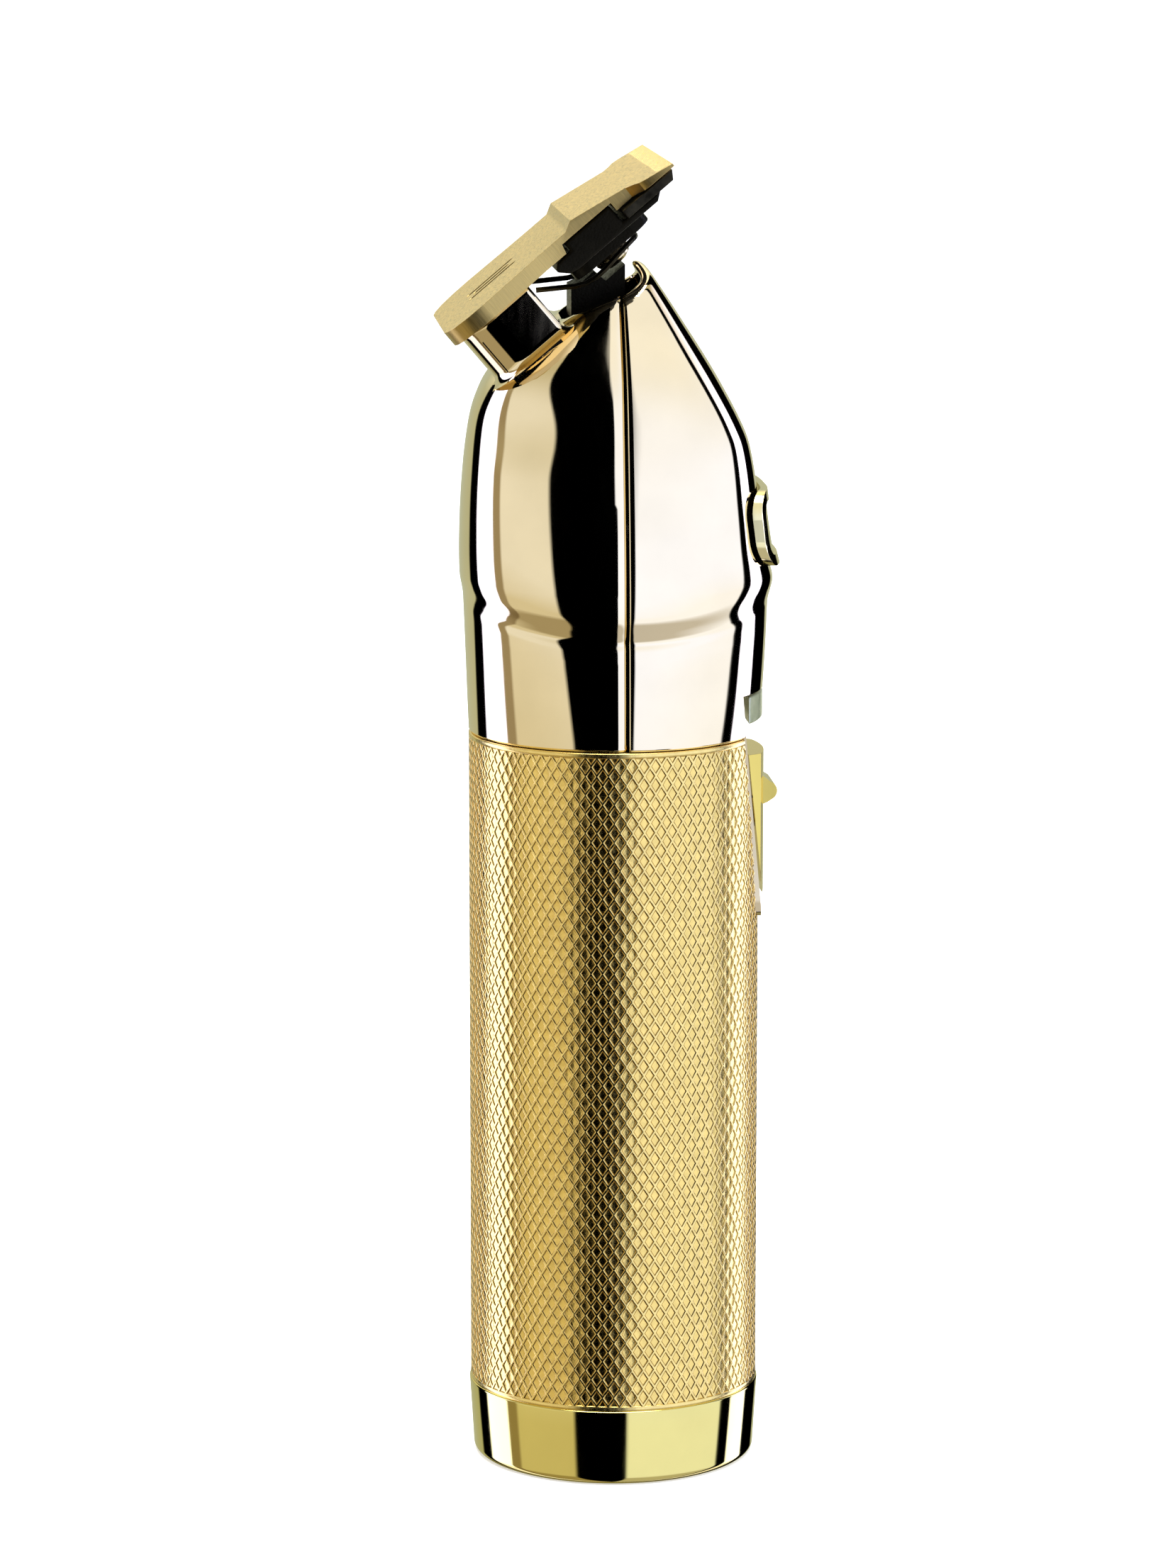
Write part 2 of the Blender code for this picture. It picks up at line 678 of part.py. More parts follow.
def facet_x(height):
    """The tongue's flat front face, which leans out towards its lower end."""
    share = (height - TONGUE_BOTTOM) / (FACET_TOP - TONGUE_BOTTOM)
    return FACET_X_AT_BOTTOM + (FACET_X_AT_TOP - FACET_X_AT_BOTTOM) * share


def beyond_facet(low, high, clearance, reach=26.0):
    """Everything in front of the tongue's face, between two heights."""
    face = [(facet_x(high) + clearance, high), (facet_x(low) + clearance, low)]
    outline = face + [(reach, low), (reach, high)]
    return prism(outline, -14.0, 14.0, "y")


def add_front_shell():
    front = add_part("front_shell", shell(True), champagne_gold, sharp_degrees=25)
    below_lens = tongue_outline(0, LENS_TOP - 0.1)
    combine(front, "UNION", prism(below_lens, TONGUE_INNER_X, 18.6, "x"), "tongue")
    root = box((TONGUE_INNER_X, FACET_X_AT_TOP), (-9.5, 9.5), (LENS_TOP - 1.0, TONGUE_TOP + 2.0))
    combine(front, "UNION", root, "tongue_root")
    combine(front, "DIFFERENCE", beyond_facet(60.0, LENS_TOP, 0), "facet")
    slot = rounded_rectangle((-1.7, 1.7), (77.4, 84.8), 1.0, 3)
    combine(front, "DIFFERENCE", prism(slot, 10.0, 22.0, "x"), "switch_slot")
    return front


def seat_outline(flare):
    """The blade's seat from above: wide round corners under the heel and small ones in front."""
    back, front, half_width = -31.8 - flare, -21.8 + flare, 11.2 + flare
    heel_radius, front_radius = 5.0 + flare, 0.8 + flare
    quarter = math.pi / 2
    side = arc((front - front_radius, half_width - front_radius), front_radius, 0, quarter, 3)
    side += arc((back + heel_radius, half_width - heel_radius), heel_radius, quarter, 2 * quarter, 7)
    return side + [(x, -y) for x, y in reversed(side)]


def blade_seat():
    """The block that the blade's heel rests on, in the blade's frame. Its foot flares out into the shell."""
    levels = ((-GAP, 0.0), (-6.5, 0.0), (-7.0, 0.2), (-7.6, 0.6), (-8.2, 1.2))
    return loft([[(x, y, z) for x, y in seat_outline(flare)] for z, flare in levels])


def add_back_shell(frame):
    back = add_part("back_shell", shell(False), champagne_gold, sharp_degrees=25)
    combine(back, "UNION", blade_seat(), "blade_seat", frame)
    core = box((-30.2, -22.9), (-10.0, 10.0), (-9.2, -2.0))
    combine(back, "UNION", core, "seat_core", frame)
    mouth = rounded_rectangle((-6.35, 8.0), (-6.4, 6.4), 2.5)
    combine(back, "DIFFERENCE", prism(mouth, 130.0, 150.0, "z"), "mouth")
    steps = [(0, -16.0), (2.4, -16.0), (2.4, -7.9), (1.3, -7.9), (1.3, 4.0), (0, 4.0)]
    holes = [turned(steps, 16, (BLADE_SCREW_X, side * BLADE_SCREW_Y)) for side in (-1, 1)]
    combine(back, "DIFFERENCE", together(*holes), "screw_holes", frame)
    return back


def add_indicator_lens():
    low, high = FACET_TOP + GAP, LENS_TOP - GAP
    outline = arc((0, 0), BARREL_RADIUS + 0.4, math.radians(-31), math.radians(31), 14)
    lens = add_part("indicator_lens", prism(outline, low, high, "z"), milky_lens)
    combine(lens, "INTERSECT", beyond_facet(low - 1, high + 1, GAP), "back_face")
    return lens


def front_block(lift, low, high, rows=9, spokes=26):
    """The front of the head, grown by a lift, between two levels."""
    half = math.radians(72)
    angles = [half * (2 * i / spokes - 1) for i in range(spokes + 1)]
    levels = [low + (high - low) * k / rows for k in range(rows + 1)]
    return loft([[shell_point(angle, level, True, -lift) for angle in angles] for level in levels])


def add_spine_plaque():
    """A blank raised plate on the front of the head. It follows the shell and its panel is sunk in a rim."""
    low, high, half_width, rim = 110.4, 119.4, 11.8, 1.3
    outline = rounded_rectangle((-half_width, half_width), (low, high), 3.2, 5)
    inside = rounded_rectangle((rim - half_width, half_width - rim), (low + rim, high - rim), 1.9, 5)
    plaque = add_part("spine_plaque", prism(outline, 11.0, 22.0, "x"), yellow_gold, sharp_degrees=30)
    combine(plaque, "INTERSECT", front_block(1.25, low - 1.0, high + 1.0), "outer_face")
    combine(plaque, "DIFFERENCE", front_block(0.4, low - 1.5, high + 1.5), "back_face")
    panel = combine(plaque, "DIFFERENCE", prism(inside, 11.0, 22.0, "x"), "panel")
    combine(panel, "DIFFERENCE", front_block(0.85, low - 1.5, high + 1.5), "panel_floor")
    return plaque


def add_shell_clip(side, sign):
    low, high = sorted((sign * 13.4, sign * 14.4))
    return add_part("shell_clip_" + side, box((-3.5, 3.9), (low, high), (97.0, 105.0)), black_plastic)


# ---------------------------------------------------------------- switch


def add_switch_slider():
    """The thumb slider: a round-fronted block on the tongue's face, with a thumb ledge and a stem behind."""
    half = math.radians(27)
    outline = arc((0, 0), SLIDER_RADIUS, -half, half, 14)
    slider = add_part("switch_slider", prism(outline, SLIDER_BOTTOM, SLIDER_TOP, "z"), yellow_gold)
    ledge = [(17.0, 80.6), (18.9, 81.2)] + arc((18.5, 82.3), 1.0, math.radians(-50), math.radians(60), 6)
    ledge += [(18.0, 84.4), (17.0, 84.8)]
    combine(slider, "UNION", prism(ledge, -3.4, 3.4, "y"), "thumb_ledge")
    combine(slider, "INTERSECT", beyond_facet(SLIDER_BOTTOM - 5, SLIDER_TOP + 5, GAP, 22.0), "back_face")
    stem = box((13.3, 17.2), (-1.2, 1.2), (78.0, 81.0))
    combine(slider, "UNION", stem, "stem")
    return slider


def add_switch_knob():
    return add_part("switch_knob", box((12.2, 13.0), (-1.4, 1.4), (77.5, 81.5)), black_plastic)


# ---------------------------------------------------------------- blades

BLADE_SCREW_X = -26.7
BLADE_SCREW_Y = 7.5
RECESS = (-16.0, -8.3, 1.13)  # where the underside is milled away: its start, end and depth


def blade_plan():
    """The fixed blade from above: a wide toothed bar, a narrower body and a softly swelling heel."""
    body = 15.1
    side = [(0.0, T_HALF_WIDTH), (-3.4, T_HALF_WIDTH), (-4.4, 18.3), (-5.0, 16.6), (-5.9, body)]
    side += [(-14.0, 14.8), (-19.0, 14.95), (-23.5, 15.6), (-27.0, 16.1), (-29.6, 15.8), (-31.4, 14.8)]
    side += [(-32.4, 13.4), (-32.8, 11.8)]
    return side + [(x, -y) for x, y in reversed(side)]


def blade_side():
    start, end, depth = RECESS
    side = [(-34.0, 0.0), (start, 0.0), (start + 0.3, depth), (end, depth), (end, 0.0), (2.0, 0.0)]
    slope = (STEP_HEIGHT - TIP_THICKNESS) / 13.2
    side += [(2.0, TIP_THICKNESS - 2.0 * slope), (-13.2, STEP_HEIGHT), (-14.5, HEEL_THICKNESS)]
    return side + [(-34.0, HEEL_THICKNESS)]


def tooth_gaps(count, pitch, width, depth, tip, low, high):
    """A row of tapering slots, cut back from the toothed edge."""
    gaps = []
    for k in range(count):
        y = (k - (count - 1) / 2) * pitch
        outline = [(tip - depth, y - width * 0.3), (tip + 1.0, y - width * 0.62)]
        outline += [(tip + 1.0, y + width * 0.62), (tip - depth, y + width * 0.3)]
        gaps.append(prism(outline, low, high, "z"))
    return together(*gaps)


def add_fixed_blade(frame):
    blade = add_part("fixed_blade", prism(blade_plan(), -1.0, 4.0, "z"), blade_gold, frame)
    combine(blade, "INTERSECT", prism(blade_side(), -24.0, 24.0, "y"), "side_profile", frame)
    count = int((2 * T_HALF_WIDTH - 1.0) / TOOTH_PITCH)
    gaps = tooth_gaps(count, TOOTH_PITCH, TOOTH_GAP, TOOTH_DEPTH, 0.0, -2.0, 3.0)
    combine(blade, "DIFFERENCE", gaps, "tooth_gaps", frame)
    holes = [rod(1.2, -2.0, 1.4, (BLADE_SCREW_X, side * BLADE_SCREW_Y), 16) for side in (-1, 1)]
    combine(blade, "DIFFERENCE", together(*holes), "screw_holes", frame)
    middle, spread, half_length, half_width, depth = -24.6, 2.3, 2.6, 0.35, 0.25
    low = HEEL_THICKNESS - depth
    lines = []
    for k in (-1, 0, 1):
        x = (middle - half_length, middle + half_length)
        y = (k * spread - half_width, k * spread + half_width)
        lines.append(box(x, y, (low, HEEL_THICKNESS + 1.0)))
    combine(blade, "DIFFERENCE", together(*lines), "heel_lines", frame)
    return blade


def add_blade_screw(side, y, frame):
    profile = [(0, -9.5), (2.0, -9.5), (2.0, -8.2), (0.9, -8.2), (0.9, 1.1), (0, 1.1)]
    return add_part("blade_screw_" + side, turned(profile, 16, (BLADE_SCREW_X, y)), bright_steel, frame)


def add_moving_blade(frame):
    side = [(-7.9, -GAP), (-0.4, -GAP), (-1.1, -1.35), (-7.9, -1.35)]
    bar = prism(side, -CUTTER_HALF_WIDTH, CUTTER_HALF_WIDTH, "y")
    blade = add_part("moving_blade", bar, black_steel, frame)
    pitch = 1.7
    count = int((2 * CUTTER_HALF_WIDTH - 1.0) / pitch)
    combine(blade, "DIFFERENCE", tooth_gaps(count, pitch, 0.8, 1.9, -0.4, -3.0, 2.0), "tooth_gaps", frame)
    return blade


def add_cutter_block(frame):
    """The black carrier under the moving blade. Its rib runs in the recess of the fixed blade."""
    rib_top = RECESS[2] - GAP
    side = [(-15.4, rib_top), (-8.6, rib_top), (-8.6, -1.65), (-2.7, -1.65), (-3.9, -2.55)]
    side += [(-15.9, -2.55), (-17.1, -2.3), (-18.3, -1.1), (-17.6, -0.45), (-16.3, -GAP), (-15.4, -GAP)]
    block = add_part("cutter_block", prism(side, -13.2, 13.2, "y"), black_plastic, frame)
    return block


def add_yoke_plate(frame):
    outline = rounded_rectangle((-17.0, -5.9), (-8.0, 8.0), 2.5, 5)
    plate = add_part("yoke_plate", prism(outline, -4.25, -2.85, "z"), black_plastic, frame)
    slot = rounded_rectangle((STUD_X - 1.5, STUD_X + 1.5), (-1.1, 1.1), 0.8, 3)
    combine(plate, "DIFFERENCE", prism(slot, -6.0, -1.0, "z"), "stud_slot", frame)
    return plate


def add_tension_spring(frame):
    """A wire that leaves the blade seat on both sides of the neck and passes under the yoke plate."""
    leg = [(-21.4, -1.9), (-20.2, -2.75), (-18.9, -3.65), (-17.6, -4.55), (-16.4, -5.15), (-15.0, -5.4)]
    leg += [(-13.5, -5.35), (-11.5, -5.05), (-9.6, -4.85)]
    side = 6.0
    bend = [(x, y, -4.85) for x, y in ((-8.6, 5.2), (-8.3, 4.0), (-8.3, 0.0), (-8.3, -4.0), (-8.6, -5.2))]
    path = [(x, side, z) for x, z in leg] + bend + [(x, -side, z) for x, z in reversed(leg)]
    return add_wire("tension_spring", path, 0.35, black_steel, frame)


# ---------------------------------------------------------------- assembly


def build():
    clear_scene()
    frame = add_blade_frame()
    add_tail_ring()
    add_end_plate()
    add_charge_socket()
    add_socket_pin()
    for side, y in SCREW_PLACES:
        add_base_screw(side, y)
    for side, y in CONTACT_PLACES:
        add_charge_contact(side, y)
    add_barrel_sleeve()
    add_chassis()
    add_battery_cell()
    add_battery_tab("top", 66.6)
    add_battery_tab("bottom", 15.7)
    add_circuit_board()
    add_switch_module()
    add_status_led()
    add_join_collar()
    add_lead("red", red_insulation, 1)
    add_lead("black", black_plastic, -1)
    add_motor_wire("red", red_insulation, 1)
    add_motor_wire("black", black_plastic, -1)
    add_motor_can()
    add_motor_cap()
    add_motor_magnet("left", math.pi / 2)
    add_motor_magnet("right", -math.pi / 2)
    add_motor_plate()
    add_motor_screw("left", MOTOR_SCREW_Y)
    add_motor_screw("right", -MOTOR_SCREW_Y)
    add_motor_rotor()
    add_lever_bracket()
    add_pivot_pin()
    add_drive_lever()
    add_drive_stud(frame)
    add_back_shell(frame)
    add_front_shell()
    add_indicator_lens()
    add_spine_plaque()
    add_shell_clip("left", 1)
    add_shell_clip("right", -1)
    add_switch_slider()
    add_switch_knob()
    add_fixed_blade(frame)
    add_blade_screw("left", BLADE_SCREW_Y, frame)
    add_blade_screw("right", -BLADE_SCREW_Y, frame)
    add_moving_blade(frame)
    add_cutter_block(frame)
    add_yoke_plate(frame)
    add_tension_spring(frame)


build()
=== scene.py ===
"""The trimmer's visual model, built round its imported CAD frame.

It adds a knurled barrel, smooth polished head shells, a tail ring, a blank plaque, an engraved blade and a
thumb slider, and gives every CAD part that stays visible rounded edges and a material of its own. Lengths are
in millimetres until MM turns them into metres. +Z runs up the barrel and +X points to the front.
"""

import json
import math

import bmesh
import bpy
from mathutils import Matrix, Vector


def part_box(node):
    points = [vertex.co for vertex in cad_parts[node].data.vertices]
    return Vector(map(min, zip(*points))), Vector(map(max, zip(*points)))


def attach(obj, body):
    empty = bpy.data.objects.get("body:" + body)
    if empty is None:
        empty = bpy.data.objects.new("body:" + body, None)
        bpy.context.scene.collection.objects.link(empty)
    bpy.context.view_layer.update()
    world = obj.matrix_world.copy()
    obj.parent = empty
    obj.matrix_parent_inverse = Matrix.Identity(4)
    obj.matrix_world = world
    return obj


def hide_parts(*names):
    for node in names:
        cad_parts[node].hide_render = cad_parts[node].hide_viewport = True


MM = 0.001

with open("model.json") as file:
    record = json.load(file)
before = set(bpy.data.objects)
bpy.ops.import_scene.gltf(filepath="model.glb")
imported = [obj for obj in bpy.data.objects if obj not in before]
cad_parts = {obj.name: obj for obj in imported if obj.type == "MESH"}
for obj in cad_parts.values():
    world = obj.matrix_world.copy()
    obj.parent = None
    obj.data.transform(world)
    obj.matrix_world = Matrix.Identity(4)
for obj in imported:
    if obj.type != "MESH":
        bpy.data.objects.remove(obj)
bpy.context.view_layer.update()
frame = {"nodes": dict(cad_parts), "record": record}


def box_mm(node):
    """A CAD node's lowest and highest corner, in millimetres."""
    low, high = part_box(node)
    return low / MM, high / MM


# ---------------------------------------------------------------- sizes taken from the frame

_, RING_HIGH = box_mm("tail_ring")
SLEEVE_LOW, SLEEVE_HIGH = box_mm("barrel_sleeve")
HEAD_LOW, _ = box_mm("back_shell")
FRONT_LOW, _ = box_mm("front_shell")
BLADE_LOW, BLADE_HIGH = box_mm("fixed_blade")
SLIDER_LOW, SLIDER_HIGH = box_mm("switch_slider")
_, LENS_HIGH = box_mm("indicator_lens")
PLAQUE_LOW, PLAQUE_HIGH = box_mm("spine_plaque")
_, PLATE_HIGH = box_mm("end_plate")

BARREL_RADIUS = SLEEVE_HIGH.y
HEAD_BOTTOM = HEAD_LOW.z
TONGUE_BOTTOM = FRONT_LOW.z

# ---------------------------------------------------------------- the object's own shape

GAP = 0.3
BARREL_WALL = 1.5

# Head shells: (rise above the head's bottom at the seam, half-width) to the front, the back and the side. The
# smooth side has no waist crease.
FRONT_HALF_WIDTHS = (
    (0.0, 17.5), (6.8, 18.05), (9.7, 18.25), (12.4, 18.35), (13.2, 18.4), (14.9, 18.7), (16.4, 18.87),
    (18.0, 18.8), (20.0, 18.4), (23.0, 17.75), (28.0, 17.0), (33.2, 16.2), (36.6, 15.25), (43.4, 11.7),
    (50.2, 7.45), (54.4, 4.7), (56.8, 3.0),
)
BACK_HALF_WIDTHS = (
    (0.0, 17.5), (6.8, 17.8), (9.7, 17.95), (12.4, 18.08), (13.8, 18.15), (16.2, 18.43), (17.8, 18.53),
    (23.3, 18.55), (30.1, 18.25), (36.9, 17.5), (40.3, 16.6), (43.6, 14.7), (46.7, 10.9), (49.8, 6.6),
    (53.4, 2.4),
)
SMOOTH_SIDE_HALF_WIDTHS = (
    (0.0, 17.5), (6.4, 17.4), (12.7, 17.38), (17.0, 17.4), (22.4, 17.2),
)
SIDE_HALF_WIDTHS = (
    (0.0, 17.5), (6.4, 17.35), (11.8, 17.12), (12.7, 16.9), (13.6, 17.1), (15.8, 17.6), (22.4, 17.2),
    (28.4, 16.4), (35.4, 15.2), (42.0, 13.6), (48.4, 10.7), (52.8, 8.3), (56.8, 5.6),
)
# How square the shells' sections are: 2 is an ellipse
FRONT_POWERS = ((0.0, 2.0), (13.4, 2.3), (22.4, 3.0), (32.0, 3.4), (40.4, 3.9), (56.8, 3.8))
BACK_POWERS = ((0.0, 2.0), (13.4, 2.2), (22.4, 2.35), (32.0, 2.4), (39.0, 2.3), (46.0, 3.4), (53.4, 4.5))
FRONT_CENTRE_SHIFT = 2.5  # full from SHIFT_RUN above the rise where it starts
SHIFT_STARTS, SHIFT_RUN = 10.0, 14.0
WAIST = 12.7  # at the seam; it climbs towards the middle of each shell
WAIST_CLIMB = 3.1
WAIST_REACH = 6.0
RIM_AT_SEAM = 52.8
RIM_RISE_TO_FRONT = 3.6
RIM_DROP_TO_BACK = 3.1
NOMINAL_RIM = 56.4
BLEND_RISE = 28.4
SEAM_X = 0.2
SHELL_WALL = 1.5
# The rounded edge along the seam: its radius and width, on the front shell (True) and on the back one (False)
SEAM_ROUNDING = {True: (0.2, 0.2), False: (1.44, 1.1)}
MOUTH_X, MOUTH_HALF_WIDTH, MOUTH_CORNER = (-6.35, 8.0), 6.4, 2.5  # the opening in the top, for the lever

# The tongue down the barrel, its flat face, which leans out towards its lower end, and the switch's slot
TONGUE_HALF_WIDTH = 4.7
TONGUE_CORNER = 2.4
TONGUE_OUTER_X = 18.6
FACET_X_AT_TOP = 14.95
FACET_X_AT_BOTTOM = 17.65
FACET_TOP = 91.0
TONGUE_FLARE = 0.19
TONGUE_INNER_X = 13.4
SLOT_HALF_WIDTH, SLOT_HEIGHTS, SLOT_CORNER = 1.7, (77.4, 84.8), 1.0

# Knurling: ridges round the barrel, the height of a cell, a ridge's profile as (share of the way to the next
# ridge, depth) from its crown down to the pocket, how much deeper the pocket's middle is, and the plain lips
KNURL_ROUND = 78
KNURL_HEIGHT = 2.26
RIDGE = ((0.045, 0.0), (0.1, 0.03), (0.15, 0.08), (0.185, 0.14))
RIDGE_TOTAL = RIDGE[-1][1]
POCKET_DISH = 0.035
LIP_LOW = 0.25
LIP_HIGH = 0.45

# Blade frame: +X towards the teeth, +Z outwards, origin on the toothed edge
BLADE_ANGLE = math.radians(40.4)
BLADE_LENGTH = 32.8
HEEL_THICKNESS = 1.95
# Three plain lines cut in the heel: where their middles lie along the blade, and each line's place across the
# blade and its length. Their colour stays within a reach of the middle one.
HEEL_LINES_X = -24.6
HEEL_LINES = ((-2.3, 7.2), (0.0, 5.6), (2.3, 7.2))
HEEL_LINE_WIDTH = 1.1
HEEL_LINE_DEPTH = 0.4
HEEL_LINES_REACH = 5.2
BLADE_TIP = Vector((BLADE_HIGH.x, 0.0, BLADE_LOW.z + BLADE_LENGTH * math.sin(BLADE_ANGLE)))
BLADE_TURN = Matrix.Translation(BLADE_TIP) @ Matrix.Rotation(-BLADE_ANGLE, 4, "Y")


# ---------------------------------------------------------------- shapes: (points, faces) in millimetres


def arc(centre, radius, start, end, steps):
    """Points of a circle's arc between two angles."""
    angles = [start + (end - start) * i / steps for i in range(steps + 1)]
    return [(centre[0] + radius * math.cos(a), centre[1] + radius * math.sin(a)) for a in angles]


def prism(outline, low, high, axis):
    """Extrudes an outline along an axis. Its points are (y, z) for "x", (x, z) for "y" and (x, y) for "z"."""
    place = {
        "x": lambda a, b, w: (w, a, b),
        "y": lambda a, b, w: (a, w, b),
        "z": lambda a, b, w: (a, b, w),
    }[axis]
    count = len(outline)
    points = [place(a, b, w) for w in (low, high) for a, b in outline]
    faces = [tuple(range(count)), tuple(range(count, 2 * count))]
    for i in range(count):
        j = (i + 1) % count
        faces.append((i, j, j + count, i + count))
    return points, faces


def loft(loops, closed=False):
    """Skins a row of loops with equal numbers of points, and caps its ends unless it closes on itself."""
    size = len(loops[0])
    points = [point for loop in loops for point in loop]
    faces = []
    last = len(loops) if closed else len(loops) - 1
    for k in range(last):
        here = k * size
        there = (k + 1) % len(loops) * size
        for i in range(size):
            j = (i + 1) % size
            faces.append((here + i, here + j, there + j, there + i))
    if not closed:
        faces.append(tuple(range(size)))
        faces.append(tuple(range(len(points) - size, len(points))))
    return points, faces


def turned(profile, segments):
    """A ring: a closed profile of (radius, height) points, all off the axis, turned about it."""
    loops = []
    for k in range(segments):
        angle = 2 * math.pi * k / segments
        loops.append([(r * math.cos(angle), r * math.sin(angle), h) for r, h in profile])
    return loft(loops, closed=True)


def rounded_rectangle(x, y, radius, steps=6):
    """An outline between two x values and two y values, with round corners."""
    corners = ((x[1], y[1]), (x[0], y[1]), (x[0], y[0]), (x[1], y[0]))
    inwards = ((-1, -1), (1, -1), (1, 1), (-1, 1))
    outline = []
    for k, (corner, inward) in enumerate(zip(corners, inwards)):
        centre = (corner[0] + inward[0] * radius, corner[1] + inward[1] * radius)
        outline += arc(centre, radius, k * math.pi / 2, (k + 1) * math.pi / 2, steps)
    return outline


def through(points, at):
    """A smooth curve through rising (position, value) points, read at one position."""
    last = len(points) - 1
    k = next((i for i in range(last) if at <= points[i + 1][0]), last - 1)
    slopes = []
    for i in (k, k + 1):
        before = points[max(i - 1, 0)]
        after = points[min(i + 1, last)]
        slopes.append((after[1] - before[1]) / (after[0] - before[0]))
    width = points[k + 1][0] - points[k][0]
    s = (at - points[k][0]) / width
    if s > 1:
        return points[k + 1][1] + slopes[1] * width * (s - 1)
    return (
        (1 + 2 * s) * (1 - s) ** 2 * points[k][1]
        + s * (1 - s) ** 2 * width * slopes[0]
        + s * s * (3 - 2 * s) * points[k + 1][1]
        + s * s * (s - 1) * width * slopes[1]
    )


# ---------------------------------------------------------------- objects


def add_mesh(name, shape, turn=None):
    """Makes an object from a shape, which may first be turned into place."""
    points, faces = shape
    if turn is not None:
        points = [turn @ Vector(point) for point in points]
    mesh = bpy.data.meshes.new(name)
    mesh.from_pydata([Vector(point) * MM for point in points], [], faces)
    surface = bmesh.new()
    surface.from_mesh(mesh)
    bmesh.ops.recalc_face_normals(surface, faces=surface.faces)
    surface.to_mesh(mesh)
    surface.free()
    obj = bpy.data.objects.new(name, mesh)
    bpy.context.scene.collection.objects.link(obj)
    return obj


def combine(obj, operation, shape, turn=None):
    """Joins a shape to an object, cuts it away or keeps what is inside it, and leaves no helper behind."""
    combine_objects(obj, operation, add_mesh(obj.name + "_helper", shape, turn))


def combine_objects(obj, operation, helper):
    """The same with an object, which is used up."""
    modifier = obj.modifiers.new(operation, "BOOLEAN")
    modifier.operation = operation
    modifier.object = helper
    modifier.solver = "EXACT"
    settle(obj)
    bpy.data.objects.remove(helper, do_unlink=True)


def settle(obj):
    """Turns an object's modifiers into its mesh."""
    graph = bpy.context.evaluated_depsgraph_get()
    made = bpy.data.meshes.new_from_object(obj.evaluated_get(graph))
    obj.modifiers.clear()
    obj.data = made


def weld(obj):
    """Joins the CAD's loose triangles."""
    modifier = obj.modifiers.new("weld", "WELD")
    modifier.merge_threshold = 0.001 * MM


def merge_flat_faces(obj):
    """Dissolves the triangles of flat faces, so that only real edges get rounded."""
    flat = obj.modifiers.new("flat", "DECIMATE")
    flat.decimate_type = "DISSOLVE"
    flat.angle_limit = math.radians(0.5)


def round_edges(obj, width, degrees, segments=4):
    """Bevels the edges that turn by more than an angle."""
    edges = obj.modifiers.new("edges", "BEVEL")
    edges.width = width * MM
    edges.segments = segments
    edges.limit_method = "ANGLE"
    edges.angle_limit = math.radians(degrees)


def even_normals(obj):
    """Keeps flat faces evenly lit next to rounded edges."""
    normals = obj.modifiers.new("normals", "WEIGHTED_NORMAL")
    normals.keep_sharp = True


def finish_piece(obj, body, nodes, material, sharp_degrees=32):
    """Gives a piece its material and shading, and lets it replace CAD nodes and ride on their body."""
    obj.data.materials.clear()
    obj.data.materials.append(material)
    obj.data.shade_smooth()
    obj.data.set_sharp_from_angle(angle=math.radians(sharp_degrees))
    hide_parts(*nodes)
    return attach(obj, body)


# ---------------------------------------------------------------- materials


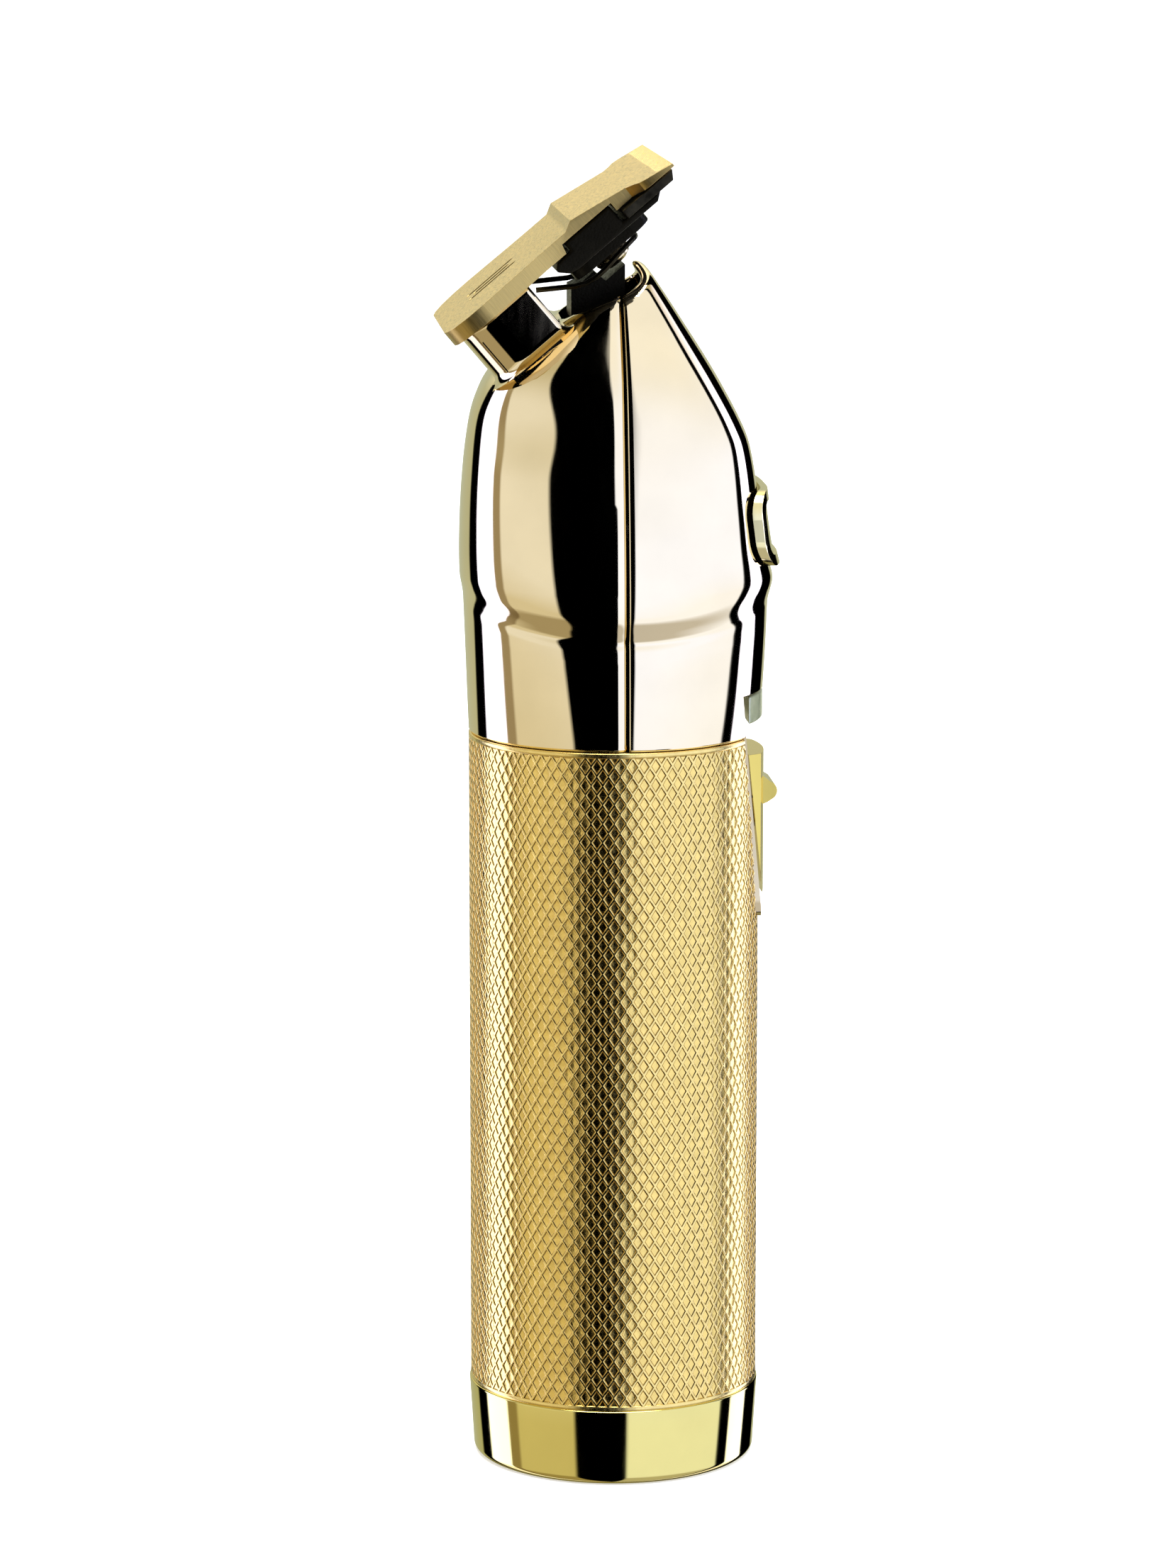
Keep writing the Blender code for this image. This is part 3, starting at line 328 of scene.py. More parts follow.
class Nodes:
    """Short calls for building one material's node tree."""

    def __init__(self, name):
        self.material = bpy.data.materials.new(name)
        self.material.use_nodes = True
        self.tree = self.material.node_tree
        self.shader = self.tree.nodes["Principled BSDF"]
        self.place = self.add("ShaderNodeTexCoord").outputs["Object"]

    def add(self, kind, **settings):
        node = self.tree.nodes.new(kind)
        for key, value in settings.items():
            setattr(node, key, value)
        return node

    def link(self, source, target):
        self.tree.links.new(source, target)

    def stretched(self, stretch, place=None):
        mapping = self.add("ShaderNodeMapping")
        mapping.inputs["Scale"].default_value = stretch
        self.link(place or self.place, mapping.inputs["Vector"])
        return mapping.outputs["Vector"]

    def in_blade_frame(self):
        """The place in axes that lean with the blade."""
        turn = self.add("ShaderNodeVectorRotate", rotation_type="Y_AXIS")
        turn.inputs["Angle"].default_value = BLADE_ANGLE
        self.link(self.place, turn.inputs["Vector"])
        return turn.outputs["Vector"]

    def along(self, direction):
        """How closely the surface faces a direction: 1 when it faces it, 0 at a right angle."""
        coordinates = self.add("ShaderNodeTexCoord")
        product = self.add("ShaderNodeVectorMath", operation="DOT_PRODUCT")
        product.inputs[1].default_value = direction
        self.link(coordinates.outputs["Normal"], product.inputs[0])
        return product.outputs["Value"]

    def blend(self, factor, first, second, kind="FLOAT"):
        """Mixes two values, or two colours with the kind RGBA."""
        mix = self.add("ShaderNodeMix", data_type=kind)
        start, a, b, out = (0, 2, 3, 0) if kind == "FLOAT" else (0, 6, 7, 2)
        for socket, source in ((start, factor), (a, first), (b, second)):
            self.link(source, mix.inputs[socket])
        return mix.outputs[out]

    def noise(self, scale, detail=3.0, place=None, roughness=0.5):
        noise = self.add("ShaderNodeTexNoise")
        noise.inputs["Scale"].default_value = scale
        noise.inputs["Detail"].default_value = detail
        noise.inputs["Roughness"].default_value = roughness
        self.link(place or self.place, noise.inputs["Vector"])
        return noise.outputs["Fac"]

    def ranged(self, value, low, high, start=0.3, end=0.7):
        ranged = self.add("ShaderNodeMapRange")
        ranged.inputs["From Min"].default_value = start
        ranged.inputs["From Max"].default_value = end
        ranged.inputs["To Min"].default_value = low
        ranged.inputs["To Max"].default_value = high
        self.link(value, ranged.inputs["Value"])
        return ranged.outputs["Result"]

    def colours(self, value, first, second, start=0.3, end=0.7):
        ramp = self.add("ShaderNodeValToRGB")
        ramp.color_ramp.elements[0].position = start
        ramp.color_ramp.elements[1].position = end
        ramp.color_ramp.elements[0].color = (*first, 1.0)
        ramp.color_ramp.elements[1].color = (*second, 1.0)
        self.link(value, ramp.inputs["Fac"])
        return ramp.outputs["Color"]

    def bump(self, height, strength, distance):
        bump = self.add("ShaderNodeBump")
        bump.inputs["Strength"].default_value = strength
        bump.inputs["Distance"].default_value = distance
        self.link(height, bump.inputs["Height"])
        return bump.outputs["Normal"]

    def mottled(self, value, colour, darkest, lightest):
        """A colour that a pattern makes darker and lighter."""
        return self.colours(value, shaded(colour, darkest), shaded(colour, lightest))

    def drive(self, source, name):
        """Links a value or colour to one of the shader's sockets."""
        self.link(source, self.shader.inputs[name])

    def set(self, **values):
        for name, value in values.items():
            self.shader.inputs[name.replace("_", " ")].default_value = value


def shaded(colour, factor):
    """A colour made lighter or darker."""
    return tuple(min(channel * factor, 1.0) for channel in colour)


def polished(name, colour, roughness=0.04, mottle=0.03):
    """A mirror-like plated metal, with faint cloudiness and fine wiping marks."""
    m = Nodes(name)
    m.set(Metallic=1.0)
    m.drive(m.mottled(m.noise(140.0, 4.0), colour, 1 - mottle, 1 + mottle), "Base Color")
    marks = m.noise(900.0, 3.0, m.stretched((1.0, 1.0, 0.15)))
    m.drive(m.ranged(marks, roughness * 0.7, roughness * 1.5), "Roughness")
    return m.material


def satin_knurl(name, pocket, line, crown):
    """Knurling with painted light by depth: bright pockets, painted shade on the slopes round them, painted
    highlight on crowns.
    """
    m = Nodes(name)
    m.set(Metallic=1.0)
    flat = m.add("ShaderNodeVectorMath", operation="MULTIPLY")
    flat.inputs[1].default_value = (1.0, 1.0, 0.0)
    m.link(m.place, flat.inputs[0])
    radius = m.add("ShaderNodeVectorMath", operation="LENGTH")
    m.link(flat.outputs["Vector"], radius.inputs[0])
    floor = BARREL_RADIUS - RIDGE_TOTAL
    rise = m.ranged(radius.outputs["Value"], 0.0, 1.0, floor * MM, BARREL_RADIUS * MM)
    above_pocket = m.ranged(rise, 0.0, 1.0, 0.05, 0.2)
    on_crown = m.ranged(rise, 0.0, 1.0, 0.55, 0.9)
    clouds = m.noise(900.0, 5.0)
    # Painted light: the slopes between pockets and crowns get a dark painted shade, the crowns a paler
    # painted highlight.
    pockets, lines, crowns = (m.mottled(clouds, colour, 0.9, 1.08) for colour in (pocket, line, crown))
    below_crown = m.blend(above_pocket, pockets, lines, "RGBA")
    m.drive(m.blend(on_crown, below_crown, crowns, "RGBA"), "Base Color")
    m.drive(m.ranged(m.noise(2200.0, 3.0), 0.13, 0.25), "Roughness")
    m.drive(m.bump(m.noise(1100.0, 3.0), 0.5, 0.00008), "Normal")
    return m.material


def satin(name, colour):
    """The knurling's plating where it is plain."""
    m = Nodes(name)
    m.set(Metallic=1.0)
    m.drive(m.mottled(m.noise(900.0, 5.0), colour, 0.9, 1.08), "Base Color")
    m.drive(m.ranged(m.noise(2200.0, 3.0), 0.18, 0.3), "Roughness")
    return m.material


def heel_line_mask(m, leaning):
    """1 inside the heel's cut lines and 0 elsewhere."""
    tip = BLADE_TURN.to_3x3().inverted() @ BLADE_TIP
    heel_top = tip.z + HEEL_THICKNESS
    parts = m.add("ShaderNodeSeparateXYZ")
    m.link(leaning, parts.inputs[0])
    sunk = m.ranged(parts.outputs["Z"], 1.0, 0.0, (heel_top - 0.08) * MM, (heel_top - 0.02) * MM)
    from_middle = m.add("ShaderNodeVectorMath", operation="DISTANCE")
    from_middle.inputs[1].default_value = Vector((tip.x + HEEL_LINES_X, 0.0, heel_top)) * MM
    m.link(leaning, from_middle.inputs[0])
    start, end = HEEL_LINES_REACH * MM, (HEEL_LINES_REACH + 0.3) * MM
    near = m.ranged(from_middle.outputs["Value"], 1.0, 0.0, start, end)
    both = m.add("ShaderNodeMath", operation="MULTIPLY")
    m.link(sunk, both.inputs[0])
    m.link(near, both.inputs[1])
    return both.outputs["Value"]


def blade_metal(name, colour):
    """Blasted with fine grit on the outer face, brushed across the edges and dark in the heel's lines."""
    m = Nodes(name)
    m.set(Metallic=1.0)
    leaning = m.in_blade_frame()
    outwards = BLADE_TURN.to_3x3() @ Vector((0.0, 0.0, 1.0))
    blasted = m.ranged(m.along(outwards), 0.0, 1.0, 0.45, 0.75)
    grit = m.noise(2600.0, 4.0)
    strokes = m.noise(9000.0, 3.0, m.stretched((1.0, 1.0, 0.05), leaning))
    brushed_colour = m.mottled(strokes, BRUSHED_GOLD, 0.9, 1.1)
    face = m.blend(blasted, brushed_colour, m.mottled(grit, colour, 0.8, 1.12), "RGBA")
    cut = m.mottled(grit, BRUSHED_GOLD, 0.2, 0.5)
    m.drive(m.blend(heel_line_mask(m, leaning), face, cut, "RGBA"), "Base Color")
    rough = m.blend(blasted, m.ranged(strokes, 0.3, 0.4), m.ranged(m.noise(3000.0, 3.0), 0.2, 0.5))
    m.drive(rough, "Roughness")
    height = m.blend(blasted, strokes, m.noise(5200.0, 2.0))
    m.drive(m.bump(height, 0.3, 0.00003), "Normal")
    return m.material


def dark_steel(name, colour=(0.034, 0.029, 0.017)):
    """Coated steel with grinding strokes."""
    m = Nodes(name)
    m.set(Metallic=1.0)
    strokes = m.noise(700.0, 4.0, m.stretched((1.0, 18.0, 1.0)))
    m.drive(m.mottled(strokes, colour, 0.5, 1.9), "Base Color")
    m.drive(m.ranged(strokes, 0.2, 0.42), "Roughness")
    m.drive(m.bump(strokes, 0.2, 0.00003), "Normal")
    return m.material


def moulded(name, colour, roughness=0.42, grain=0.35, gloss=0.5):
    """Moulded plastic with a fine spark-eroded texture."""
    m = Nodes(name)
    m.set(Specular_IOR_Level=gloss, Specular_Tint=(1.0, 0.9, 0.62, 1.0))
    m.drive(m.mottled(m.noise(500.0, 3.0), colour, 0.75, 1.35), "Base Color")
    m.drive(m.ranged(m.noise(2600.0, 2.0), roughness - 0.1, roughness + 0.1), "Roughness")
    m.drive(m.bump(m.noise(4200.0, 2.0), grain, 0.00005), "Normal")
    return m.material


def bright_metal(name, colour=(0.6, 0.6, 0.58)):
    """Bare or plated metal, slightly dull."""
    m = Nodes(name)
    m.set(Metallic=1.0)
    m.drive(m.mottled(m.noise(600.0), colour, 0.85, 1.1), "Base Color")
    m.drive(m.ranged(m.noise(1500.0), 0.16, 0.32), "Roughness")
    return m.material


def milky(name):
    """The indicator lens's cloudy plastic."""
    m = Nodes(name)
    m.set(Transmission_Weight=0.35, IOR=1.49)
    m.drive(m.colours(m.noise(700.0), (0.36, 0.40, 0.25), (0.50, 0.53, 0.35)), "Base Color")
    m.drive(m.ranged(m.noise(1800.0), 0.08, 0.2), "Roughness")
    return m.material


CHAMPAGNE = (0.95, 0.80, 0.51)
YELLOW = (0.79, 0.66, 0.21)
PALE_GOLD = (0.84, 0.72, 0.34)
SWITCH_GOLD = (0.78, 0.59, 0.13)
KNURL = (0.93, 0.665, 0.19)
BLADE_GOLD = (0.86, 0.65, 0.28)
BRUSHED_GOLD = (0.70, 0.50, 0.16)
# Painted light on the knurling: the dark brown below is painted shade on the ridges' slopes, and the paler
# gold
# after it is a painted highlight on the crowns, which is also the plain lips' own colour.
KNURL_SLOPE_PAINTED_SHADE = (0.50, 0.30, 0.06)
KNURL_CROWN = (0.95, 0.70, 0.23)

MATERIALS = {
    "satin_gold": satin_knurl("satin_knurl_painted_shade_look", KNURL, KNURL_SLOPE_PAINTED_SHADE, KNURL_CROWN),
    "satin_lip": satin("satin_lip_look", KNURL_CROWN),
    "polished_gold": polished("polished_gold_look", CHAMPAGNE),
    "yellow_gold": polished("yellow_gold_look", YELLOW, 0.05),
    "pale_gold": polished("pale_gold_look", PALE_GOLD, 0.07),
    "switch_gold": polished("switch_gold_look", SWITCH_GOLD, 0.07),
    "blade_gold": blade_metal("blade_gold_look", BLADE_GOLD),
    "black_blade_steel": dark_steel("black_blade_steel_look"),
    "bright_steel": bright_metal("bright_steel_look"),
    "contact_metal": bright_metal("contact_metal_look", (0.85, 0.68, 0.36)),
    "black_plastic": moulded("black_plastic_look", (0.004, 0.0036, 0.0025), 0.3, grain=0.6, gloss=0.07),
    "grey_plastic": moulded("grey_plastic_look", (0.16, 0.16, 0.17)),
    "battery_wrap": moulded("battery_wrap_look", (0.05, 0.20, 0.40), 0.3, 0.1),
    "board": moulded("board_look", (0.02, 0.18, 0.08), 0.35, 0.15),
    "magnet": moulded("magnet_look", (0.12, 0.12, 0.13), 0.6),
    "lens": milky("lens_look"),
    "red_insulation": moulded("red_insulation_look", (0.55, 0.03, 0.03), 0.4, 0.1),
}


# ---------------------------------------------------------------- barrel


ACROSS_FRONT = (8.0, 22.0)  # from inside the barrel's front wall to clear of everything in front


def tongue_outline(clearance, top, corner_steps=8):
    """The tongue seen from the front, as (y, z) points."""
    low_half_width = TONGUE_HALF_WIDTH + clearance
    top_half_width = low_half_width + TONGUE_FLARE * (top - TONGUE_BOTTOM)
    low = TONGUE_BOTTOM - clearance
    centre = (low_half_width - TONGUE_CORNER, low + TONGUE_CORNER)
    right = arc(centre, TONGUE_CORNER, -math.pi / 2, 0, corner_steps)
    left = [(-y, z) for y, z in reversed(right)]
    return [(-top_half_width, top)] + left + right + [(top_half_width, top)]


def knurled_skin(low, high):
    """Crossed rounded ridges round the barrel, with a dished pocket in each cell between them, as a bmesh.

    Two families of ridges cross where a and b are whole numbers. A cell has its pocket, the steps up to the
    crowns round it, the crown on two of its sides and the crossing at one corner.
    """
    skin = bmesh.new()
    made = {}

    def vertex(a, b, depth):
        turn = (a + b) / 2 % KNURL_ROUND
        key = (round(turn, 4), round((a - b) / 2, 4), depth)
        if key not in made:
            angle = 2 * math.pi * turn / KNURL_ROUND
            radius = BARREL_RADIUS - depth
            height = low + KNURL_HEIGHT * (a - b) / 2
            made[key] = skin.verts.new((radius * math.cos(angle), radius * math.sin(angle), height))
        return made[key]

    def square(i, j, share, depth):
        near, far = share, 1 - share
        corners = ((near, near), (far, near), (far, far), (near, far))
        return [vertex(i + a, j + b, depth) for a, b in corners]

    near, far = RIDGE[0][0], 1 - RIDGE[0][0]
    beyond = 1 + near
    crowns = (
        ((far, near), (beyond, near), (beyond, far), (far, far)),
        ((near, far), (near, beyond), (far, beyond), (far, far)),
        ((far, far), (beyond, far), (beyond, beyond), (far, beyond)),
    )
    rows = math.ceil((high - low) / KNURL_HEIGHT) + 1
    for row in range(-2, 2 * rows + 1):
        for k in range(KNURL_ROUND):
            i = k + math.ceil(row / 2)
            j = k - math.floor(row / 2)
            steps = [square(i, j, share, depth) for share, depth in RIDGE]
            centre = vertex(i + 0.5, j + 0.5, RIDGE_TOTAL + POCKET_DISH)
            for n in range(4):
                skin.faces.new((steps[-1][n], steps[-1][(n + 1) % 4], centre))
            for upper, lower in zip(steps, steps[1:]):
                for n in range(4):
                    m = (n + 1) % 4
                    skin.faces.new((upper[n], upper[m], lower[m], lower[n]))
            for corners in crowns:
                skin.faces.new([vertex(i + a, j + b, 0.0) for a, b in corners])
    for height, keep_above in ((low, True), (high, False)):
        bmesh.ops.bisect_plane(
            skin,
            geom=skin.verts[:] + skin.edges[:] + skin.faces[:],
            plane_co=(0, 0, height),
            plane_no=(0, 0, 1),
            clear_inner=keep_above,
            clear_outer=not keep_above,
        )
    return skin


def add_barrel():
    """The knurled tube, cut out for the tongue, and the plain lips at both its ends."""
    low = SLEEVE_LOW.z + LIP_LOW
    high = SLEEVE_HIGH.z - LIP_HIGH
    skin = knurled_skin(low, high)
    middle = (low + high) / 2
    bore = BARREL_RADIUS - BARREL_WALL
    inner_rims = []
    for side in (-1, 1):
        rim = [e for e in skin.edges if e.is_boundary and (e.verts[0].co.z - middle) * side > 0]
        made = bmesh.ops.extrude_edge_only(skin, edges=rim)["geom"]
        for vertex in (v for v in made if isinstance(v, bmesh.types.BMVert)):
            vertex.co.xy = vertex.co.xy.normalized() * bore
        inner_rims += [e for e in made if isinstance(e, bmesh.types.BMEdge)]
    bmesh.ops.bridge_loops(skin, edges=inner_rims)
    bmesh.ops.recalc_face_normals(skin, faces=skin.faces)
    mesh = bpy.data.meshes.new("knurled_barrel")
    for vertex in skin.verts:
        vertex.co *= MM
    skin.to_mesh(mesh)
    skin.free()
    barrel = bpy.data.objects.new("knurled_barrel", mesh)
    bpy.context.scene.collection.objects.link(barrel)
    notch = prism(tongue_outline(GAP, SLEEVE_HIGH.z + 5.0), *ACROSS_FRONT, "x")
    combine(barrel, "DIFFERENCE", notch)
    finish_piece(barrel, "housing", ["barrel_sleeve"], MATERIALS["satin_gold"], 45)

    overlap, head_gap, edge = 0.1, 0.12, 0.15
    inside, outside = bore + 0.2, BARREL_RADIUS + 0.02
    for name, start, end in (
        ("barrel_lip_low", RING_HIGH.z - overlap, low + overlap),
        ("barrel_lip_high", high - overlap, HEAD_BOTTOM - head_gap),
    ):
        profile = [(inside, start), (BARREL_RADIUS - edge, start), (outside, start + edge)]
        profile += [(outside, end - edge), (BARREL_RADIUS - edge, end), (inside, end)]
        lip = add_mesh(name, turned(profile, 160))
        combine(lip, "DIFFERENCE", notch)
        lip.data.materials.append(MATERIALS["satin_lip"])
        lip.data.shade_smooth()
        lip.data.set_sharp_from_angle(angle=math.radians(50))
        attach(lip, "housing")


def add_tail_ring():
    """The ring at the tail: a round foot corner, a slight taper, and a lip round the end plate."""
    corner, taper, edge = 1.0, 0.5, 0.25
    rim, top = RING_HIGH.x, RING_HIGH.z
    rounding = arc((rim - taper - corner, corner), corner, -math.pi / 2, 0, 12)
    shoulder = arc((rim - edge, top - edge), edge, 0, math.pi / 2, 6)
    bore = BARREL_RADIUS - BARREL_WALL
    lip = PLATE_HIGH.x + GAP
    profile = [(lip, edge), (lip + edge, 0.0)] + rounding + shoulder
    profile += [(bore, top), (bore, PLATE_HIGH.z + 1.5), (lip, PLATE_HIGH.z + 0.5)]
    ring = add_mesh("polished_tail_ring", turned(profile, 192))
    finish_piece(ring, "housing", ["tail_ring"], MATERIALS["yellow_gold"])


# ---------------------------------------------------------------- head shells


def rim_rise(angle, front):
    """The height of the shells' rim above the head's bottom: it climbs to the front and drops to the back."""
    change = RIM_RISE_TO_FRONT if front else -RIM_DROP_TO_BACK
    return RIM_AT_SEAM + change * math.cos(angle)


def height_of(rise, angle):
    """Height of a row of the shell: rows near the waist climb towards the middle of the shell."""
    closeness = math.exp(-(((rise - WAIST) / WAIST_REACH) ** 2))
    return HEAD_BOTTOM + rise + WAIST_CLIMB * math.cos(angle) ** 2 * closeness


def centre_shift(rise, front):
    """Moving the centre of the front sections back turns their flanks a little to the front at the seam."""
    return FRONT_CENTRE_SHIFT * min(max((rise - SHIFT_STARTS) / SHIFT_RUN, 0.0), 1.0) if front else 0.0


def seam_drop(from_seam, front):
    """How far the shell's rounded edge drops inwards at a distance from the seam."""
    radius, width = SEAM_ROUNDING[front]
    return radius - math.sqrt(radius ** 2 - max(width - from_seam, 0.0) ** 2)


def side_half_width(rise, angle, front):
    """The side's half-width. In front, its waist crease fades out towards the middle."""
    creased = through(SIDE_HALF_WIDTHS, rise)
    if not front or rise >= SMOOTH_SIDE_HALF_WIDTHS[-1][0]:
        return creased
    return creased + (through(SMOOTH_SIDE_HALF_WIDTHS, rise) - creased) * (1 - math.sin(angle) ** 4)


def shell_point(angle, rise, front, inset):
    """A point of a head shell. The angle runs from -90 to 90 degrees about the middle of the shell."""
    seam = SEAM_X + GAP / 2 if front else GAP / 2 - SEAM_X
    shift = centre_shift(rise, front)
    power = through(FRONT_POWERS if front else BACK_POWERS, rise)
    reach = max(through(FRONT_HALF_WIDTHS if front else BACK_HALF_WIDTHS, rise) - seam - inset, 0.6) + shift
    side = max(side_half_width(rise, angle, front) - inset, 0.6)
    widest = side / (1 - (shift / reach) ** power) ** (1 / power)
    turn = angle / (math.pi / 2) * math.atan2(side, shift)
    c, s = max(math.cos(turn), 0.0), abs(math.sin(turn))
    radius = ((c / reach) ** power + (s / widest) ** power) ** (-1 / power)
    from_seam = max(radius * c - shift, 0.0)
    y = radius * math.sin(turn)
    if inset < SHELL_WALL / 2:
        y -= math.copysign(seam_drop(from_seam, front), y)
    return (seam + from_seam if front else -seam - from_seam, y, height_of(rise, angle))


def spaced(start, end, steps):
    """Even steps from a start up to an end, without the end itself."""
    return [start + (end - start) * i / steps for i in range(steps)]


OUTER_RISES = (
    [0.0, 0.25] + spaced(1.0, WAIST - 2.4, 10) + spaced(WAIST - 2.4, WAIST - 0.5, 6)
    + spaced(WAIST - 0.5, WAIST + 0.5, 7) + spaced(WAIST + 0.5, WAIST + 5.5, 16)
    + spaced(WAIST + 5.5, 36.0, 24) + spaced(36.0, NOMINAL_RIM - SHELL_WALL / 2, 30)
)
INNER_RISES = spaced(0.0, 55.4, 20) + [55.4]


def shell_loop(angle, front):
    """The wall's outline in one upright plane: up the outside, over the rounded rim and down the inside."""
    rim = rim_rise(angle, front)

    def fitted(rise):
        if rise < BLEND_RISE:
            return rise
        return BLEND_RISE + (rise - BLEND_RISE) * (rim - BLEND_RISE) / (NOMINAL_RIM - BLEND_RISE)

    loop = [shell_point(angle, fitted(rise), front, 0.0 if rise else 0.2) for rise in OUTER_RISES]
    half_wall = SHELL_WALL / 2
    for inwards, up in arc((half_wall, 0.0), half_wall, math.pi, 0.0, 8):
        loop.append(shell_point(angle, rim - half_wall + up, front, inwards))
    loop += [shell_point(angle, fitted(rise), front, SHELL_WALL) for rise in reversed(INNER_RISES)]
    return loop


def seam_angles(front, steps=84):
    """Angles round a shell, with extra ones close to both seams, where its edge is rounded."""
    width = SEAM_ROUNDING[front][1]
    near = [math.asin(width * k / 6 / BARREL_RADIUS) for k in range(1, 7)]
    half = math.pi / 2
    rest = [-half + near[-1] + (math.pi - 2 * near[-1]) * i / steps for i in range(1, steps)]
    return [-half] + [a - half for a in near] + rest + [half - a for a in reversed(near)] + [half]


def facet_x(height):
    """Where the tongue's flat face is at a height."""
    share = (height - TONGUE_BOTTOM) / (FACET_TOP - TONGUE_BOTTOM)
    return FACET_X_AT_BOTTOM + (FACET_X_AT_TOP - FACET_X_AT_BOTTOM) * share


def beyond_facet(low, high, clearance, reach=26.0, half_width=14.0):
    """Everything in front of the tongue's flat face, between two heights."""
    outline = [(facet_x(low) + clearance, low), (reach, low)]
    outline += [(reach, high), (facet_x(high) + clearance, high)]
    return prism(outline, -half_width, half_width, "y")


def add_front_shell():
    """The front of the head with the tongue, its flat face and the switch's slot."""
    loops = [shell_loop(angle, True) for angle in seam_angles(True)]
    shell = add_mesh("polished_front_shell", loft(loops))
    lens_top = LENS_HIGH.z + GAP
    tongue = tongue_outline(0, lens_top - 0.1)
    combine(shell, "UNION", prism(tongue, TONGUE_INNER_X, TONGUE_OUTER_X, "x"))
    combine(shell, "DIFFERENCE", beyond_facet(TONGUE_BOTTOM - 4.0, lens_top, 0))
    slot = rounded_rectangle((-SLOT_HALF_WIDTH, SLOT_HALF_WIDTH), SLOT_HEIGHTS, SLOT_CORNER, 3)
    combine(shell, "DIFFERENCE", prism(slot, *ACROSS_FRONT, "x"))
    finish_piece(shell, "housing", ["front_shell"], MATERIALS["polished_gold"])


def seat_outline(flare):
    """The seat's outline in the blade frame: wide round corners under the heel and small ones in front."""
    back, front, half_width = -31.8 - flare, -21.8 + flare, 11.2 + flare
    heel_radius, front_radius = 5.0 + flare, 0.6 + flare
    quarter = math.pi / 2
    side = arc((front - front_radius, half_width - front_radius), front_radius, 0, quarter, 6)
    side += arc((back + heel_radius, half_width - heel_radius), heel_radius, quarter, 2 * quarter, 16)
    return side + [(x, -y) for x, y in reversed(side)]


def blade_seat():
    """The block that the blade's heel rests on, with a foot that curves out into the shell."""
    foot_radius, foot_top, start, end, steps = 1.7, -6.5, math.radians(25), math.radians(75), 8
    top_edge = [(-GAP, -0.3), (-GAP - 0.1, -0.1), (-GAP - 0.35, 0.0), (-GAP - 0.7, 0.0)]
    loops = []
    for z, flare in top_edge + [(foot_top + 0.3, 0.0), (foot_top, 0.0)]:
        loops.append([(x, y, z) for x, y in seat_outline(flare)])
    for k in range(1, steps + 1):
        turn = start + (end - start) * k / steps
        flare = foot_radius * (math.cos(start) - math.cos(turn))
        z = foot_top - foot_radius * (math.sin(turn) - math.sin(start))
        loops.append([(x, y, z) for x, y in seat_outline(flare)])
    return loft(loops)


def add_back_shell():
    """The back of the head with the blade's seat and the lever's opening."""
    loops = [shell_loop(angle, False) for angle in seam_angles(False)]
    shell = add_mesh("polished_back_shell", loft(loops))
    combine(shell, "UNION", blade_seat(), BLADE_TURN)
    back, front, half_width, bottom, top = -30.2, -22.9, 10.0, -9.2, -2.0
    core = [(back, -half_width), (front, -half_width), (front, half_width), (back, half_width)]
    combine(shell, "UNION", prism(core, bottom, top, "z"), BLADE_TURN)
    mouth = rounded_rectangle(MOUTH_X, (-MOUTH_HALF_WIDTH, MOUTH_HALF_WIDTH), MOUTH_CORNER)
    combine(shell, "DIFFERENCE", prism(mouth, 130.0, 150.0, "z"))
    finish_piece(shell, "housing", ["back_shell"], MATERIALS["polished_gold"])
    even_normals(shell)


def front_block(lift, low, high, rows=24, spokes=96):
    """The front of the head, grown by a lift, between two rises."""
    half = math.radians(72)
    angles = [half * (2 * i / spokes - 1) for i in range(spokes + 1)]
    rises = [low + (high - low) * k / rows for k in range(rows + 1)]
    return loft([[shell_point(angle, rise, True, -lift) for angle in angles] for rise in rises])


def add_plaque():
    """A blank raised plate on the front of the head. It follows the shell, and its panel is sunk in a rim."""
    raised, panel_lift, underside_lift = 1.25, 0.85, 0.4
    low, high, half_width, rim = PLAQUE_LOW.z, PLAQUE_HIGH.z, PLAQUE_HIGH.y, 1.3
    through_head = (11.0, 22.0)
    rises = (low - HEAD_BOTTOM - 1.5, high - HEAD_BOTTOM + 1.5)
    outline = rounded_rectangle((-half_width, half_width), (low, high), 3.2, 12)
    inner = rounded_rectangle((rim - half_width, half_width - rim), (low + rim, high - rim), 1.9, 12)
    plaque = add_mesh("blank_plaque", prism(outline, *through_head, "x"))
    combine(plaque, "INTERSECT", front_block(raised, *rises))
    round_edges(plaque, 0.16, 50)
    settle(plaque)
    combine(plaque, "DIFFERENCE", front_block(underside_lift, *rises))
    panel = add_mesh("panel_cutter", prism(inner, *through_head, "x"))
    combine(panel, "DIFFERENCE", front_block(panel_lift, *rises))
    combine_objects(plaque, "DIFFERENCE", panel)
    finish_piece(plaque, "housing", ["spine_plaque"], MATERIALS["pale_gold"])
    even_normals(plaque)


